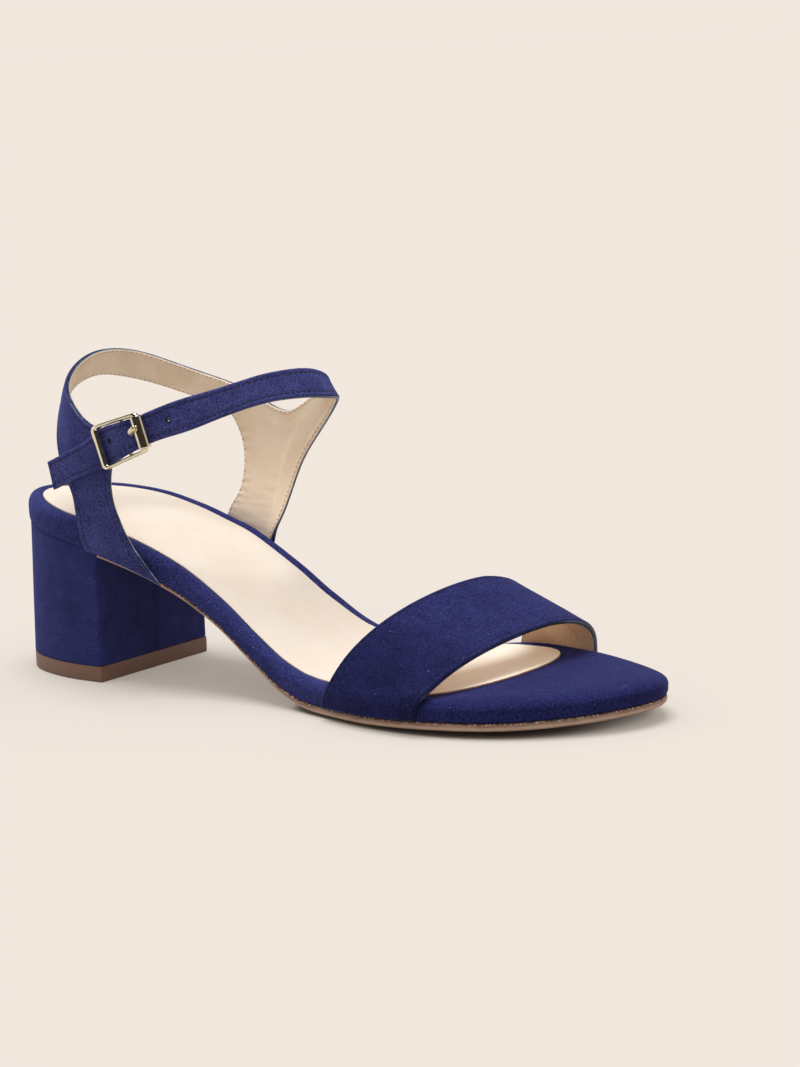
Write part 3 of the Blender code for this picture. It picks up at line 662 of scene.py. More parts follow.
def smooth_steps(rows):
    """A curve through (at, value) rows that never overshoots them."""
    known, values = np.array(rows, float).T
    wide = np.diff(known)
    rate = np.diff(values) / wide
    slope = np.concatenate(([rate[0]], np.zeros(len(wide) - 1), [rate[-1]]))
    for i in range(1, len(wide)):
        if rate[i - 1] * rate[i] > 0:
            before = 2 * wide[i] + wide[i - 1]
            after = wide[i] + 2 * wide[i - 1]
            slope[i] = (before + after) / (before / rate[i - 1] + after / rate[i])

    def at(x):
        x = np.asarray(x, float)
        i = np.clip(np.searchsorted(known, x) - 1, 0, len(wide) - 1)
        t = np.clip((x - known[i]) / wide[i], 0, 1)
        past = x - np.clip(x, known[0], known[-1])
        start = (1 + 2 * t) * (1 - t) ** 2 * values[i] + t * (1 - t) ** 2 * wide[i] * slope[i]
        end = t**2 * (3 - 2 * t) * values[i + 1] + t**2 * (t - 1) * wide[i] * slope[i + 1]
        return start + end + past * np.where(past < 0, slope[0], slope[-1])

    return at


print("between two rows of 0:", float(smooth_steps(((0, 0), (1, 0), (2, 1)))(0.5)))

# %% [markdown]
# The sole's plan comes from two half widths at distances along it, and its side view from the height
# of the insole board. A spline joins the widths, and the curve that never overshoots joins the heights,
# so the flat under the ball stays flat.

# %% The sole's outline and rise
LENGTH = 230.0
# along, outer side, inner side
OUTLINE = (
    (0, 0.0, 0.0),
    (4, 10.8, 10.8),
    (12, 18.7, 18.8),
    (28, 26.2, 26.2),
    (50, 27.1, 25.8),
    (75, 25.9, 21.5),
    (100, 26.1, 21.7),
    (130, 32.4, 31.2),
    (155, 38.9, 37.7),
    (175, 40.3, 39.4),
    (195, 35.8, 37.0),
    (212, 25.4, 28.5),
    (223, 13.6, 20.2),
    (230, -5.8, 5.8),
)
# along, height of the board's underside
RISE = (
    (0, 48.2),
    (15, 47.0),
    (30, 44.9),
    (45, 42.0),
    (60, 38.0),
    (75, 32.4),
    (90, 24.4),
    (105, 14.2),
    (118, 6.9),
    (128, 4.2),
    (136, 3.7),
    (152, 3.8),
    (166, 4.3),
    (182, 4.9),
    (200, 5.25),
    (216, 6.1),
    (230, 7.3),
)
# along, share of the padding's full height
PADDING = ((0, 1.0), (105, 1.0), (150, 0.93), (200, 0.79), (230, 0.68))


def turn_of(along):
    """The angle that stands for a distance along the sole, so that both ends come out round."""
    return np.arccos(np.clip(1 - 2 * np.asarray(along, float) / LENGTH, -1, 1))


rise = smooth_steps(RISE)
padding = smooth_steps(PADDING)
outline = Spline(turn_of([row[0] for row in OUTLINE]), [(-row[1], row[2]) for row in OUTLINE])
WHOLE_TURN = 2 * math.pi


def outline_at(turn):
    """Plan points of the outline, from the heel along the outer side and back along the inner one."""
    turn = np.mod(np.asarray(turn, float), WHOLE_TURN)
    folded = np.where(turn <= math.pi, turn, WHOLE_TURN - turn)
    sides = outline(folded)
    y = np.where(turn <= math.pi, sides[:, 0], sides[:, 1])
    return np.stack((LENGTH / 2 * (1 - np.cos(folded)), y), axis=1)


sole_wide = np.ptp(outline_at(np.linspace(0, WHOLE_TURN, 200))[:, 1])
print(f"sole {LENGTH} mm long, {sole_wide:.1f} mm wide")

# %% [markdown]
# A wrap, a sock or a sheet of sole leather follows the outline, a little inside it. These helpers move
# the outline inwards, measure along a line, and find the sole's edge at a distance from the heel.

# %% Inside the outline


def inset_at(turn, inset):
    """The outline moved inwards, in plan."""
    step = 0.004
    run = outline_at(turn + step) - outline_at(turn - step)
    run /= np.linalg.norm(run, axis=1)[:, None]
    outward = np.stack((run[:, 1], -run[:, 0]), axis=1)
    return outline_at(turn) - outward * np.reshape(inset, (-1, 1))


def outline_loop(stations):
    """The closed outline: out along the outer side to the toe's tip, back along the inner side."""
    half_turns = np.linspace(0, math.pi, stations)
    sides = outline(half_turns)
    x = LENGTH / 2 * (1 - np.cos(half_turns))
    loop_x = np.concatenate((x, x[-2:0:-1]))
    return np.column_stack((loop_x, np.concatenate((sides[:, 0], sides[-2:0:-1, 1]))))


def along_line(rows):
    """Distances along a line of points, from its start."""
    rows = np.asarray(rows, float)
    return np.concatenate(([0.0], np.cumsum(np.linalg.norm(np.diff(rows, axis=0), axis=1))))


# how far that stretch reaches either way: at least, and more by a share of the inset
STRETCH_LEAST = 0.2
STRETCH_SHARE = 0.8


def drawn_in(loop, inset):
    """A closed loop, run like the outline, moved inwards in plan by an inset, square to a stretch of it."""
    closed = np.vstack((loop, loop[:1]))
    far = along_line(closed)
    reach = STRETCH_LEAST + STRETCH_SHARE * inset
    ends = []
    for way in (reach, -reach):
        there = np.mod(far[:-1] + way, far[-1])
        ends.append(np.stack([np.interp(there, far, closed[:, axis]) for axis in (0, 1)], axis=1))
    run = ends[0] - ends[1]
    run /= np.linalg.norm(run, axis=1)[:, None]
    return loop - np.stack((run[:, 1], -run[:, 0]), axis=1) * inset


def edge_y(along, side):
    return outline(turn_of(along))[:, side]


print("edges at mid length:", *(edge_y(LENGTH / 2, side).round(1) for side in (0, 1)))

# %% [markdown]
# Rings of points, one above another, make a lofted shell. A ring runs out along one side and back
# along the other, so chords from side to side fill its first and last ring, and a function may crown
# or dent that filling.

# %% Loft


def loft(rings, blunt, across, shape_first=None, shape_last=None):
    """Points and faces of a closed shell through rings.

    blunt says that the ring starts at two corners, not at one point.
    """
    rings = np.asarray(rings, float)
    levels, count = rings.shape[:2]
    points = rings.reshape(-1, 3).tolist()
    faces = []
    for level in range(levels - 1):
        for i in range(count - 1 if blunt else count):
            after = (i + 1) % count
            low, high = level * count, (level + 1) * count
            faces.append((low + i, low + after, high + after, high + i))
    half = count // 2
    across_start = [[level * count, level * count + count - 1] for level in range(levels)]
    for level, shape in ((0, shape_first), (levels - 1, shape_last)):
        rows = []
        for i in range((count + 1) // 2 if blunt else half + 1):
            j = count - 1 - i if blunt else (count - i) % count
            start, end = level * count + i, level * count + j
            if start == end:
                rows.append([start] * (across + 1))
                continue
            share = np.arange(1, across)[:, None] / across
            chord = rings[level, i] * (1 - share) + rings[level, j] * share
            if shape:
                chord = shape(chord, share[:, 0])
            rows.append([start, *range(len(points), len(points) + across - 1), end])
            points.extend(chord.tolist())
        for low, high in zip(rows, rows[1:]):
            for k in range(across):
                corners = list(dict.fromkeys((low[k], low[k + 1], high[k + 1], high[k])))
                if len(corners) > 2:
                    faces.append(corners)
        across_start[level] = rows[0]
    if blunt:
        faces += [low[::-1] + high for low, high in zip(across_start, across_start[1:])]
    return np.array(points), faces


thin_rings = [[(0, 0, high), (1, -1, high), (2, 0, high), (1, 1, high)] for high in (0, 1)]
print("a loft of two rings of four points has", len(loft(thin_rings, False, 2)[1]), "faces")

# %% [markdown]
# The footbed is a board with a thin pad, wrapped in suede that is pulled round its edge. The wrap's
# section is a short table from the underside to the bed's floor. Beside the sock it has a low rim. In
# front of the sock the rim fades out, and the suede runs over one soft crown. At the waist the bed
# leans, because it bears the arch of the foot on the inner side.

# %% Section, lean and crown of the bed
# inset from the outline, height above the underside, height in front of the sock
WRAP_SECTION = (
    (2.2, -0.2, -0.2),
    (0.9, -0.45, -0.45),
    (0.25, 0.35, 0.35),
    (0.0, 2.2, 2.1),
    (0.0, 5.4, 4.5),
    (0.6, 7.3, 5.95),
    (1.9, 8.4, 7.15),
    (3.3, 8.3, 7.85),
    (4.5, 7.6, 8.25),
    (6.2, 7.6, 8.5),
    (8.0, 7.6, 8.6),
)
# along, how far the top is lower at the outer edge, how far it is higher at the inner edge
LEAN = (
    (45, 0.0, 0.0),
    (60, 0.5, 0.6),
    (75, 1.0, 1.9),
    (92, 1.9, 2.0),
    (104, 2.0, 1.3),
    (117, 1.5, 0.2),
    (130, 1.2, 0.0),
    (150, 1.2, 0.0),
    (172, 1.1, 0.0),
    (186, 0.7, 0.0),
    (206, 0.0, 0.0),
)
TOE_CROWN = 0.6
CROWN_SLOPE = 0.0125
CROWN_FROM, CROWN_TO = 168.0, 192.0


def smoothstep(x, low, high):
    share = np.clip((np.asarray(x, float) - low) / (high - low), 0, 1)
    return share**2 * (3 - 2 * share)


lower_outside = smooth_steps([(row[0], row[1]) for row in LEAN])
higher_inside = smooth_steps([(row[0], row[2]) for row in LEAN])


def across_bed(x, y):
    """Share of the way from the outer to the inner side of the bed's floor, and how wide that is."""
    low = edge_y(x, 0) + WRAP_SECTION[-1][0]
    wide = np.maximum(edge_y(x, 1) - WRAP_SECTION[-1][0] - low, 1.0)
    return np.clip((y - low) / wide, 0, 1), wide


def leaning(x, y):
    share, _ = across_bed(x, y)
    x = np.clip(x, LEAN[0][0], LEAN[-1][0])
    return higher_inside(x) * share - lower_outside(x) * (1 - share)


def toe_crown(x, y):
    share, wide = across_bed(x, y)
    crown = np.minimum(TOE_CROWN, CROWN_SLOPE * wide) * 4 * share * (1 - share)
    return crown * smoothstep(x, CROWN_FROM, CROWN_TO)


def crowned(chord, share):
    """A chord across the top, raised to the crown that its two ends already have."""
    step = chord[1] - chord[0]
    start, end = chord[0] - step, chord[-1] + step
    at_ends = toe_crown(start[0], start[1]) * (1 - share) + toe_crown(end[0], end[1]) * share
    raised = chord.copy()
    raised[:, 2] += toe_crown(chord[:, 0], chord[:, 1]) - at_ends
    return raised


print("rim", max(row[1] for row in WRAP_SECTION), "mm above the board's underside")

# %% [markdown]
# A spline rounds the section, and each of its steps becomes one ring: the outline drawn in by the step's
# inset and lifted by its height. The suede over the toes is painted darker, as painted shade.

# %% Footbed wrap
WRAP_STEPS = 28
WRAP_ACROSS = 22
SOLE_STATIONS = 170
# heights above the underside between which the lean comes in
LEAN_HIGH = (2.0, 7.0)
CROWN_EDGE = 1.5
SINK_FROM, SINK_TO = 46.0, 52.0
# towards the band the inner rim flattens: by how much, along the sole, and between which insets
RIM_DROP = 0.95
RIM_FLAT = (103.0, 112.0, 152.0, 166.0)
RIM_SPAN = (0.3, 1.6, 3.3, 4.5)
# height, size, seed
WRAP_UNEVEN = ((0.10, 11.0, 3.0), (0.05, 3.5, 9.0))
UNEVEN_HIGH = (4.0, 7.0)
# along the sole, where the painted shade over the toes begins and is full
WRAP_PAINTED_SHADE = (140.0, 195.0)
section_far = along_line(WRAP_SECTION)
section = Spline(section_far, WRAP_SECTION)(np.linspace(0, section_far[-1], WRAP_STEPS))
sole_loop = outline_loop(SOLE_STATIONS)
wrap_rings = []
for inset, beside_sock, before_sock in section:
    plan = drawn_in(sole_loop, inset)
    x = plan[:, 0]
    high = beside_sock + (before_sock - beside_sock) * smoothstep(x, CROWN_FROM, CROWN_TO)
    high = np.where(high < 0, high * smoothstep(x, SINK_FROM, SINK_TO), high)
    drop = smoothstep(x, *RIM_FLAT[:2]) * (1 - smoothstep(x, *RIM_FLAT[2:])) * (plan[:, 1] > 0)
    high = high - RIM_DROP * drop * smoothstep(inset, *RIM_SPAN[:2]) * (1 - smoothstep(inset, *RIM_SPAN[2:]))
    lean = leaning(x, plan[:, 1]) * smoothstep(high, *LEAN_HIGH)
    crown = toe_crown(x, plan[:, 1]) * smoothstep(inset, CROWN_EDGE, WRAP_SECTION[-1][0])
    wrap_rings.append(np.column_stack((plan, rise(x) + high * padding(x) + lean + crown)))
wrap_points, wrap_faces = loft(wrap_rings, False, WRAP_ACROSS, None, crowned)
above_board = wrap_points[:, 2] - rise(wrap_points[:, 0])
wrap_points[:, 2] += unevenness(wrap_points, WRAP_UNEVEN) * smoothstep(above_board, *UNEVEN_HIGH)
# painted shade: the suede towards the toes is made darker
brushed = smoothstep(wrap_points[:, 0], *WRAP_PAINTED_SHADE)
piece("footbed_suede", wrap_points, wrap_faces, wrap_suede, "suede", "footbed_wrap", brushed=brushed)

# %% [markdown]
# The sock is a thin pale leather laid on the board inside the rim, with a rounded front that stops
# behind the toes. Its outline is the sole's, drawn in, up to where the two sides start to close.

# %% The sock's outline
SOCK_INSET = 4.8
SOCK_NOSE_START = 158.0
SOCK_NOSE_END = 189.6
SOCK_NOSE_LEAN = 2.0
# powers that shape the nose: how late it leans, how late it closes, how round it ends
NOSE_LATE = 3
NOSE_FULL = 3.4
NOSE_ROUND = 0.45
NOSE_STEPS = 40
SOCK_STATIONS = 130
FINE_STATIONS = 400
nose_turn = float(turn_of(SOCK_NOSE_START))
plain_turns = np.linspace(0, nose_turn, SOCK_STATIONS)
outer_side = inset_at(plain_turns, SOCK_INSET)
inner_side = inset_at(WHOLE_TURN - plain_turns, SOCK_INSET)
keep = (outer_side[:, 0] < SOCK_NOSE_START) & (inner_side[:, 0] < SOCK_NOSE_START)
part = np.sin(math.pi / 2 * np.arange(NOSE_STEPS + 1) / NOSE_STEPS)
nose_x = SOCK_NOSE_START + (SOCK_NOSE_END - SOCK_NOSE_START) * part
far_turns = np.linspace(0.0, math.pi, FINE_STATIONS)
far_outer = inset_at(far_turns, SOCK_INSET)
far_inner = inset_at(WHOLE_TURN - far_turns, SOCK_INSET)
nose_outer = np.interp(nose_x, far_outer[:, 0], far_outer[:, 1])
nose_inner = np.interp(nose_x, far_inner[:, 0], far_inner[:, 1])
middle = (nose_outer + nose_inner) / 2 * (1 - part**NOSE_LATE) + SOCK_NOSE_LEAN * part**NOSE_LATE
full = np.maximum(1 - part**NOSE_FULL, 0) ** NOSE_ROUND
outer_side = np.vstack((outer_side[keep], np.column_stack((nose_x, middle + (nose_outer - middle) * full))))
inner_side = np.vstack((inner_side[keep], np.column_stack((nose_x, middle + (nose_inner - middle) * full))))
sock_plan = np.vstack((outer_side, inner_side[-2:0:-1]))
print("sock of", len(sock_plan), "points round, to", SOCK_NOSE_END, "mm from the heel")

# %% [markdown]
# A few shallow creases cross the sock where it was pressed in, given as a start, an end, a
# depth and a width. Its thin edge is bare and brown.

# %% Sock lining
SOCK_ACROSS = 44
# along the sole, where the bare edge and the painted light on the nose begin and are full
EDGE_BROWN = (110.0, 160.0)
NOSE_PAINTED_LIGHT = (154.0, 176.0)
# start along and across, end along and across, depth, half width
SOCK_CREASES = (
    ((92, -14), (116, 4), 0.08, 1.3),
    ((60, 10), (88, 15), 0.08, 2.0),
    ((133, -22), (152, -8), 0.07, 1.6),
    ((20, -12), (34, 2), 0.06, 2.2),
    ((101, -13.5), (108, -16.8), 0.14, 0.7),
    ((103, -11.8), (111, -15.2), 0.12, 0.6),
    ((106, -17.6), (114, -18.6), 0.14, 0.7),
    ((108, -14.6), (116, -16.4), 0.10, 0.6),
    ((90, 15.4), (96, 18.0), 0.12, 0.6),
    ((92, 13.8), (99, 16.8), 0.12, 0.6),
    ((95, 15.0), (101, 18.4), 0.10, 0.6),
)
# beside a crease: the ridge's share of its depth, and how many half widths away the ridge is
RIDGE_SHARE = 0.45
RIDGE_AT = 1.9
# a crease keeps a little of its depth at its ends
CREASE_ENDS = (0.02, 0.98)


def creased(points, creases):
    """How far soft troughs sink each plan point, each with a low ridge either side."""
    sunk = np.zeros(len(points))
    for start, end, deep, half in creases:
        start = np.array(start, float)
        run = np.array(end, float) - start
        share = np.clip((points[:, :2] - start) @ run / (run @ run), 0, 1)
        off = np.linalg.norm(points[:, :2] - start - share[:, None] * run, axis=1) / half
        fade = np.sin(math.pi * np.clip(share, *CREASE_ENDS))
        sunk += deep * fade * (np.exp(-(off**2)) - RIDGE_SHARE * np.exp(-((off - RIDGE_AT) ** 2)))
    return sunk


def sock_ring(high, shrink):
    """The sock's outline at a height over the board's floor, drawn in by shrink."""
    plan = drawn_in(sock_plan, shrink)
    x = plan[:, 0]
    before = smoothstep(x, CROWN_FROM, CROWN_TO)
    floor_high = (WRAP_SECTION[-1][1] * (1 - before) + WRAP_SECTION[-1][2] * before) * padding(x)
    shaped = leaning(x, plan[:, 1]) + toe_crown(x, plan[:, 1])
    return np.column_stack((plan, rise(x) + floor_high + shaped + high))


def pressed(chord, share):
    chord = crowned(chord, share)
    chord[:, 2] -= creased(chord, SOCK_CREASES)
    return chord


def by_ring(values, count, total):
    """A number for each point of a loft: one value for each ring, and 0 on the filling."""
    numbers = np.zeros(total)
    numbers[: len(values) * count] = np.repeat(values, count)
    return numbers


# height over the board's floor, drawn in by, cut edge
SOCK_EDGE = ((0.1, 0.0, 1), (0.35, 0.0, 1), (0.5, 0.1, 1), (0.56, 0.3, 0))
sock_rings = [sock_ring(high, shrink) for high, shrink, _ in SOCK_EDGE]
sock_points, sock_faces = loft(sock_rings, False, SOCK_ACROSS, None, pressed)
sock_cut = by_ring([row[2] for row in SOCK_EDGE], len(sock_plan), len(sock_points))
sock_cut *= smoothstep(sock_points[:, 0], *EDGE_BROWN)
# painted light: the sock's nose, in the band's shade, is made paler
worn = smoothstep(sock_points[:, 0], *NOSE_PAINTED_LIGHT)
piece("sock", sock_points, sock_faces, sock_leather, "lining", "sock_lining", cut=sock_cut, worn=worn)

# %% [markdown]
# The outsole is a sheet of sole leather, thinner at the waist, whose bare edge shows all round. Its
# upper line is rough, because the suede was roughened there to take the cement. Its lower edge is
# bevelled, so the sole touches the floor a little further in.

# %% Outsole
# between glued parts
GAP = 0.3
OUTSOLE_BALL = 2.9
OUTSOLE_WAIST = 1.6
WAIST_END = 95.0
BALL_START = 130.0
HEEL_BREAST = 45.5
BREAST_GAP = 0.6
OUTSOLE_STATIONS = 420
OUTSOLE_ACROSS = 10
# height, size, seed of the rough line, sideways and upwards
ROUGH_OUT = ((0.08, 0.9, 7.0),)
ROUGH_UP = ((0.05, 0.8, 17.0),)
sheet = smooth_steps(((HEEL_BREAST, OUTSOLE_WAIST), (WAIST_END, OUTSOLE_WAIST), (BALL_START, OUTSOLE_BALL)))
# inset from the outline, share of the sheet's thickness above its underside, rough upper line, painted light
OUTSOLE_SECTION = (
    (5.6, -0.165, 0, 0.0),
    (4.0, -0.1, 0, 0.0),
    (2.6, 0.0, 0, 0.0),
    (1.9, 0.05, 0, 0.0),
    (1.15, 0.14, 0, 0.0),
    (0.62, 0.26, 0, 0.3),
    (0.4, 0.42, 0, 0.5),
    (0.3, 0.62, 0, 0.0),
    (0.32, 0.72, 0, 0.0),
    (0.38, 0.82, 1, 0.0),
    (0.55, 0.91, 1, 0.0),
    (1.0, 0.92, 1, 0.0),
)


def sheet_thick(x):
    return np.where(x < BALL_START, sheet(np.minimum(x, BALL_START)), OUTSOLE_BALL)


sole_loop = outline_loop(OUTSOLE_STATIONS)
kept = sole_loop[:, 0] > HEEL_BREAST + BREAST_GAP
sole_rings = []
for inset, share, rough, _ in OUTSOLE_SECTION:
    plan = drawn_in(sole_loop, inset)[kept]
    x = plan[:, 0]
    ring = np.column_stack((plan, rise(x) - GAP - sheet_thick(x) * (1 - share)))
    ring[:, 1] += rough * np.sign(ring[:, 1]) * unevenness(ring, ROUGH_OUT)
    ring[:, 2] += rough * unevenness(ring, ROUGH_UP)
    sole_rings.append(ring)
sole_points, sole_faces = loft(sole_rings, True, OUTSOLE_ACROSS)
# painted light: the lower part of the edge is made paler
finish = {
    "cut": by_ring([row[2] for row in OUTSOLE_SECTION], kept.sum(), len(sole_points)),
    "worn": by_ring([row[3] for row in OUTSOLE_SECTION], kept.sum(), len(sole_points)),
}
piece("outsole_leather", sole_points, sole_faces, sole_leather, "sole_leather", "outsole", **finish)

# %% [markdown]
# The heel is a block covered in one sheet of suede, seamed down the middle of its breast, over a
# brown rubber lift. Both come from one plan that is squarer at the foot, with soft corners at the
# breast.

# %% The heel's plan
HEEL_TOP_INSET = 0.5
HEEL_FOOT_BACK = 0.9
HEEL_SQUARE = 0.30
HEEL_SQUARE_REACH = 28.0
HEEL_STATIONS = 56
BREAST_STEPS = 40
CORNER_ARC = 7
BLOCK_CORNER = 1.5
LIFT_CORNER = 0.7
CORNER_CLEAR = 0.2


def heel_plan(level, corner):
    """The heel's plan, level 0 at its top and 1 at its foot: one side, the breast, the other side."""
    side_turns = np.linspace(0.0, float(turn_of(HEEL_BREAST)), HEEL_STATIONS)
    sides = []
    for turns_here, way in ((side_turns, -1), (WHOLE_TURN - side_turns, 1)):
        plan = inset_at(turns_here, HEEL_TOP_INSET)
        x = np.minimum(plan[:, 0], HEEL_BREAST)
        square = HEEL_SQUARE * np.maximum(0.0, 1 - x / HEEL_SQUARE_REACH) ** 2
        forward = HEEL_FOOT_BACK * (1 - x / HEEL_BREAST)
        side = np.column_stack((x + forward * level, plan[:, 1] * (1 + square * level)))
        corner_x = HEEL_BREAST - corner
        start = np.array((corner_x, np.interp(corner_x, side[:, 0], side[:, 1])))
        angle = np.linspace(0, math.pi / 2, CORNER_ARC)[:, None]
        arc = start + corner * np.hstack((np.sin(angle), way * (np.cos(angle) - 1)))
        sides.append(np.vstack((side[side[:, 0] < corner_x - CORNER_CLEAR], arc)))
    share = np.linspace(0, 1, BREAST_STEPS + 2)[1:-1, None]
    breast = sides[0][-1] * (1 - share) + sides[1][-1] * share
    return np.vstack((sides[0], breast, sides[1][:0:-1]))


lift_plan = heel_plan(1.0, LIFT_CORNER)
print("heel", np.ptp(lift_plan, axis=0).round(1), "mm at its foot")

# %% [markdown]
# The plan is stacked into closed shells. The cover's top edge turns in under the wrap, which leaves the
# seam under the rim.

# %% Heel block and top lift
LIFT_THICK = 5.0
BREAST_CLEAR = 0.05
SEAM_DEEP = 0.5
SEAM_HALF = 0.6
BLOCK_GAP = 0.06
BLOCK_LEVELS = 24
# height, size, seed
COVER_UNEVEN = ((0.12, 16.0, 41.0),)


def ring_faces(levels, count):
    """Faces of a closed shell through rings of so many points, with flat ends."""
    faces = [tuple(range(count)), tuple(range((levels - 1) * count, levels * count))]
    for row in range(levels - 1):
        for i in range(count):
            a, b = row * count + i, row * count + (i + 1) % count
            faces.append((a, b, b + count, a + count))
    return faces


def heel_shell(rows, low, top_of, corner, seam=0.0):
    """Points and faces of the heel through rows of (level, inset)."""
    rings = []
    for level, inset in rows:
        plan = drawn_in(heel_plan(level, corner), inset)
        top = top_of(plan[:, 0])
        on_breast = plan[:, 0] > HEEL_BREAST - inset - BREAST_CLEAR
        groove = seam * np.exp(-((plan[:, 1] / SEAM_HALF) ** 2)) * on_breast
        rings.append(np.column_stack((plan[:, 0] - groove, plan[:, 1], top + (low - top) * level)))
    return np.vstack(rings), ring_faces(len(rings), len(rings[0]))


# level, inset: the turned lower edge, the sides, the turned upper edge
BLOCK_ROWS = [(1.0, 0.3), (0.995, 0.1), (0.985, 0.0)]
BLOCK_ROWS += [(level, 0.0) for level in np.linspace(0.96, 0.04, BLOCK_LEVELS)]
BLOCK_ROWS += [(0.018, 0.0), (0.008, 0.08), (0.0, 0.3)]
block_points, block_faces = heel_shell(
    BLOCK_ROWS, LIFT_THICK + BLOCK_GAP, lambda x: rise(x) - BLOCK_GAP, BLOCK_CORNER, SEAM_DEEP
)
block_points[:, 1] += unevenness(block_points, COVER_UNEVEN)
piece("heel_suede", block_points, block_faces, heel_cover_suede, "suede", "heel_block")
# height, inset
LIFT_ROWS = ((0.0, 0.4), (0.12, 0.12), (0.4, 0.0), (2.5, 0.0), (4.7, 0.0), (4.92, 0.06), (LIFT_THICK, 0.2))
lift_rings = []
for high, inset in LIFT_ROWS:
    lift_rings.append(np.column_stack((drawn_in(lift_plan, inset), np.full(len(lift_plan), high))))
lift_faces = ring_faces(len(lift_rings), len(lift_plan))
piece("lift_rubber", np.vstack(lift_rings), lift_faces, rubber, "lift", "heel_lift")

# %% [markdown]
# The upper is two sheets of leather sewn back to back: suede outside and lining inside. One function
# turns a sheet of points with normals into a closed layer between two depths. The depth near an edge
# rolls over, and a stitched line pulls a shallow trough along it.

# %% Layers of the upper
STITCH_IN = 1.45
TROUGH_HALF = 0.36
# the leather swells a little between the edge and the stitches
SWELL = 0.06
SWELL_AT = 0.75
SWELL_HALF = 0.4


def rolled(far, full, drop, reach, trough):
    """Depth of a sheet's face by the distance from its edge, in millimetres."""
    near = np.clip(1 - far / reach, 0, 1)
    face = full - drop * (1 - np.sqrt(np.maximum(1 - near**2, 0)))
    face = face + SWELL * np.exp(-(((far - SWELL_AT) / SWELL_HALF) ** 2))
    return face - trough * np.exp(-(((far - STITCH_IN) / TROUGH_HALF) ** 2))


def layer(base, normal, faces, top, bottom):
    """Points and faces of a closed sheet between two depths along the normals, and what is on its rim."""
    count = len(base)
    points = np.vstack([base + normal * np.reshape(depth, (-1, 1)) for depth in (top, bottom)])
    sheet_faces = [tuple(face) for face in faces]
    used = {}
    for face in sheet_faces:
        for a, b in zip(face, face[1:] + face[:1]):
            used[(a, b)] = used.get((a, b), 0) + 1
    rim = [(a, b) for a, b in used if (b, a) not in used]
    made = sheet_faces + [tuple(i + count for i in reversed(face)) for face in sheet_faces]
    made += [(b, a, a + count, b + count) for a, b in rim]
    on_rim = np.zeros(2 * count)
    for a, b in rim:
        on_rim[[a, b, a + count, b + count]] = 1.0
    return points, made, on_rim


def grid_normals(grid):
    """Unit normals of a grid of points."""
    along = np.gradient(grid, axis=0)
    across = np.gradient(grid, axis=1)
    square = np.cross(along, across)
    return square / np.linalg.norm(square, axis=2)[:, :, None]


print("stitches run", STITCH_IN, "mm from the edge")

# %% [markdown]
# The vamp band is a strip cut from a form over the toes. Its columns run from the outer to the inner
# base, and its rows are placed by their distance from the two edges, closer where the edge rolls.

# %% The band's form
CREST_START = 145.0
CREST_HIGH = 42.4
CREST_FALL = 0.515
BAND_FOOT = 0.15
CREST_LEAN = 14.5
SIDE_ROUND = 1.64
TOP_ROUND = 2.10
BASE_OUT = 1.15
# outer base, inner base, bulge over the foot
VAMP_REAR = (139.3, 158.8, 16.4)
VAMP_FRONT = (175.7, 186.4, 9.0)
# height above the underside, how far inside the outline the band may run
HUG = ((0, -1.0), (5.4, -1.0), (7.3, -0.6), (8.6, 0.3), (9.6, 1.8), (10.1, 3.4), (10.5, 60.0))
BAND_COLUMNS = 220
BAND_MIDDLE_ROWS = 22
BAND_FINE_ROWS = 61
# how much closer the columns stand at the base
COLUMN_EASE = 0.09
EDGE_ROWS = (0.0, 0.1, 0.25, 0.45, 0.7, 0.95, 1.2, 1.45, 1.7, 1.95, 2.3, 2.8)


def vamp_points(turn, share):
    """Points of the band's form, turn 0 at the outer base and pi at the inner one."""
    ends = []
    for outer, inner, bulge in (VAMP_REAR, VAMP_FRONT):
        ends.append(outer + (inner - outer) * turn / math.pi + bulge * np.sin(turn))
    x = ends[0] + (ends[1] - ends[0]) * share
    outer_edge = edge_y(x, 0)
    inner_edge = edge_y(x, 1)
    middle = (outer_edge + inner_edge) / 2
    half = (inner_edge - outer_edge) / 2 + BASE_OUT
    lean = np.cos(turn)
    crest = CREST_HIGH - CREST_FALL * (x - CREST_START)
    y = middle - half * np.sign(lean) * np.abs(lean) ** (2 / SIDE_ROUND)
    y = y + CREST_LEAN * np.sin(turn) ** 2
    high = BAND_FOOT + (crest - BAND_FOOT) * np.abs(np.sin(turn)) ** (2 / TOP_ROUND)
    most = np.interp(high / padding(x), [row[0] for row in HUG], [row[1] for row in HUG])
    y = np.where(turn < math.pi / 2, np.minimum(y, outer_edge + most), np.maximum(y, inner_edge - most))
    return np.column_stack((x, y, rise(x) + high))


def band_grid():
    """A grid of points over the band, with each point's distance from the nearer edge and from the base."""
    u = np.linspace(0, 1, BAND_COLUMNS + 1)
    columns = math.pi * (u - COLUMN_EASE * np.sin(2 * math.pi * u))
    fine = np.linspace(0, 1, BAND_FINE_ROWS)
    grid, from_edge = [], []
    for turn in columns:
        strip = vamp_points(np.full(len(fine), turn), fine)
        far = along_line(strip)
        inner_rows = np.linspace(EDGE_ROWS[-1], far[-1] - EDGE_ROWS[-1], BAND_MIDDLE_ROWS)[1:-1]
        rows = np.concatenate((EDGE_ROWS, inner_rows, far[-1] - np.array(EDGE_ROWS[::-1])))
        grid.append(vamp_points(np.full(len(rows), turn), np.interp(rows, far, fine)))
        from_edge.append(np.minimum(rows, far[-1] - rows))
    grid = np.array(grid)
    centre = grid[:, grid.shape[1] // 2]
    far = along_line(centre)
    from_base = np.minimum(far, far[-1] - far)
    return grid, np.array(from_edge), np.repeat(from_base[:, None], grid.shape[1], axis=1)


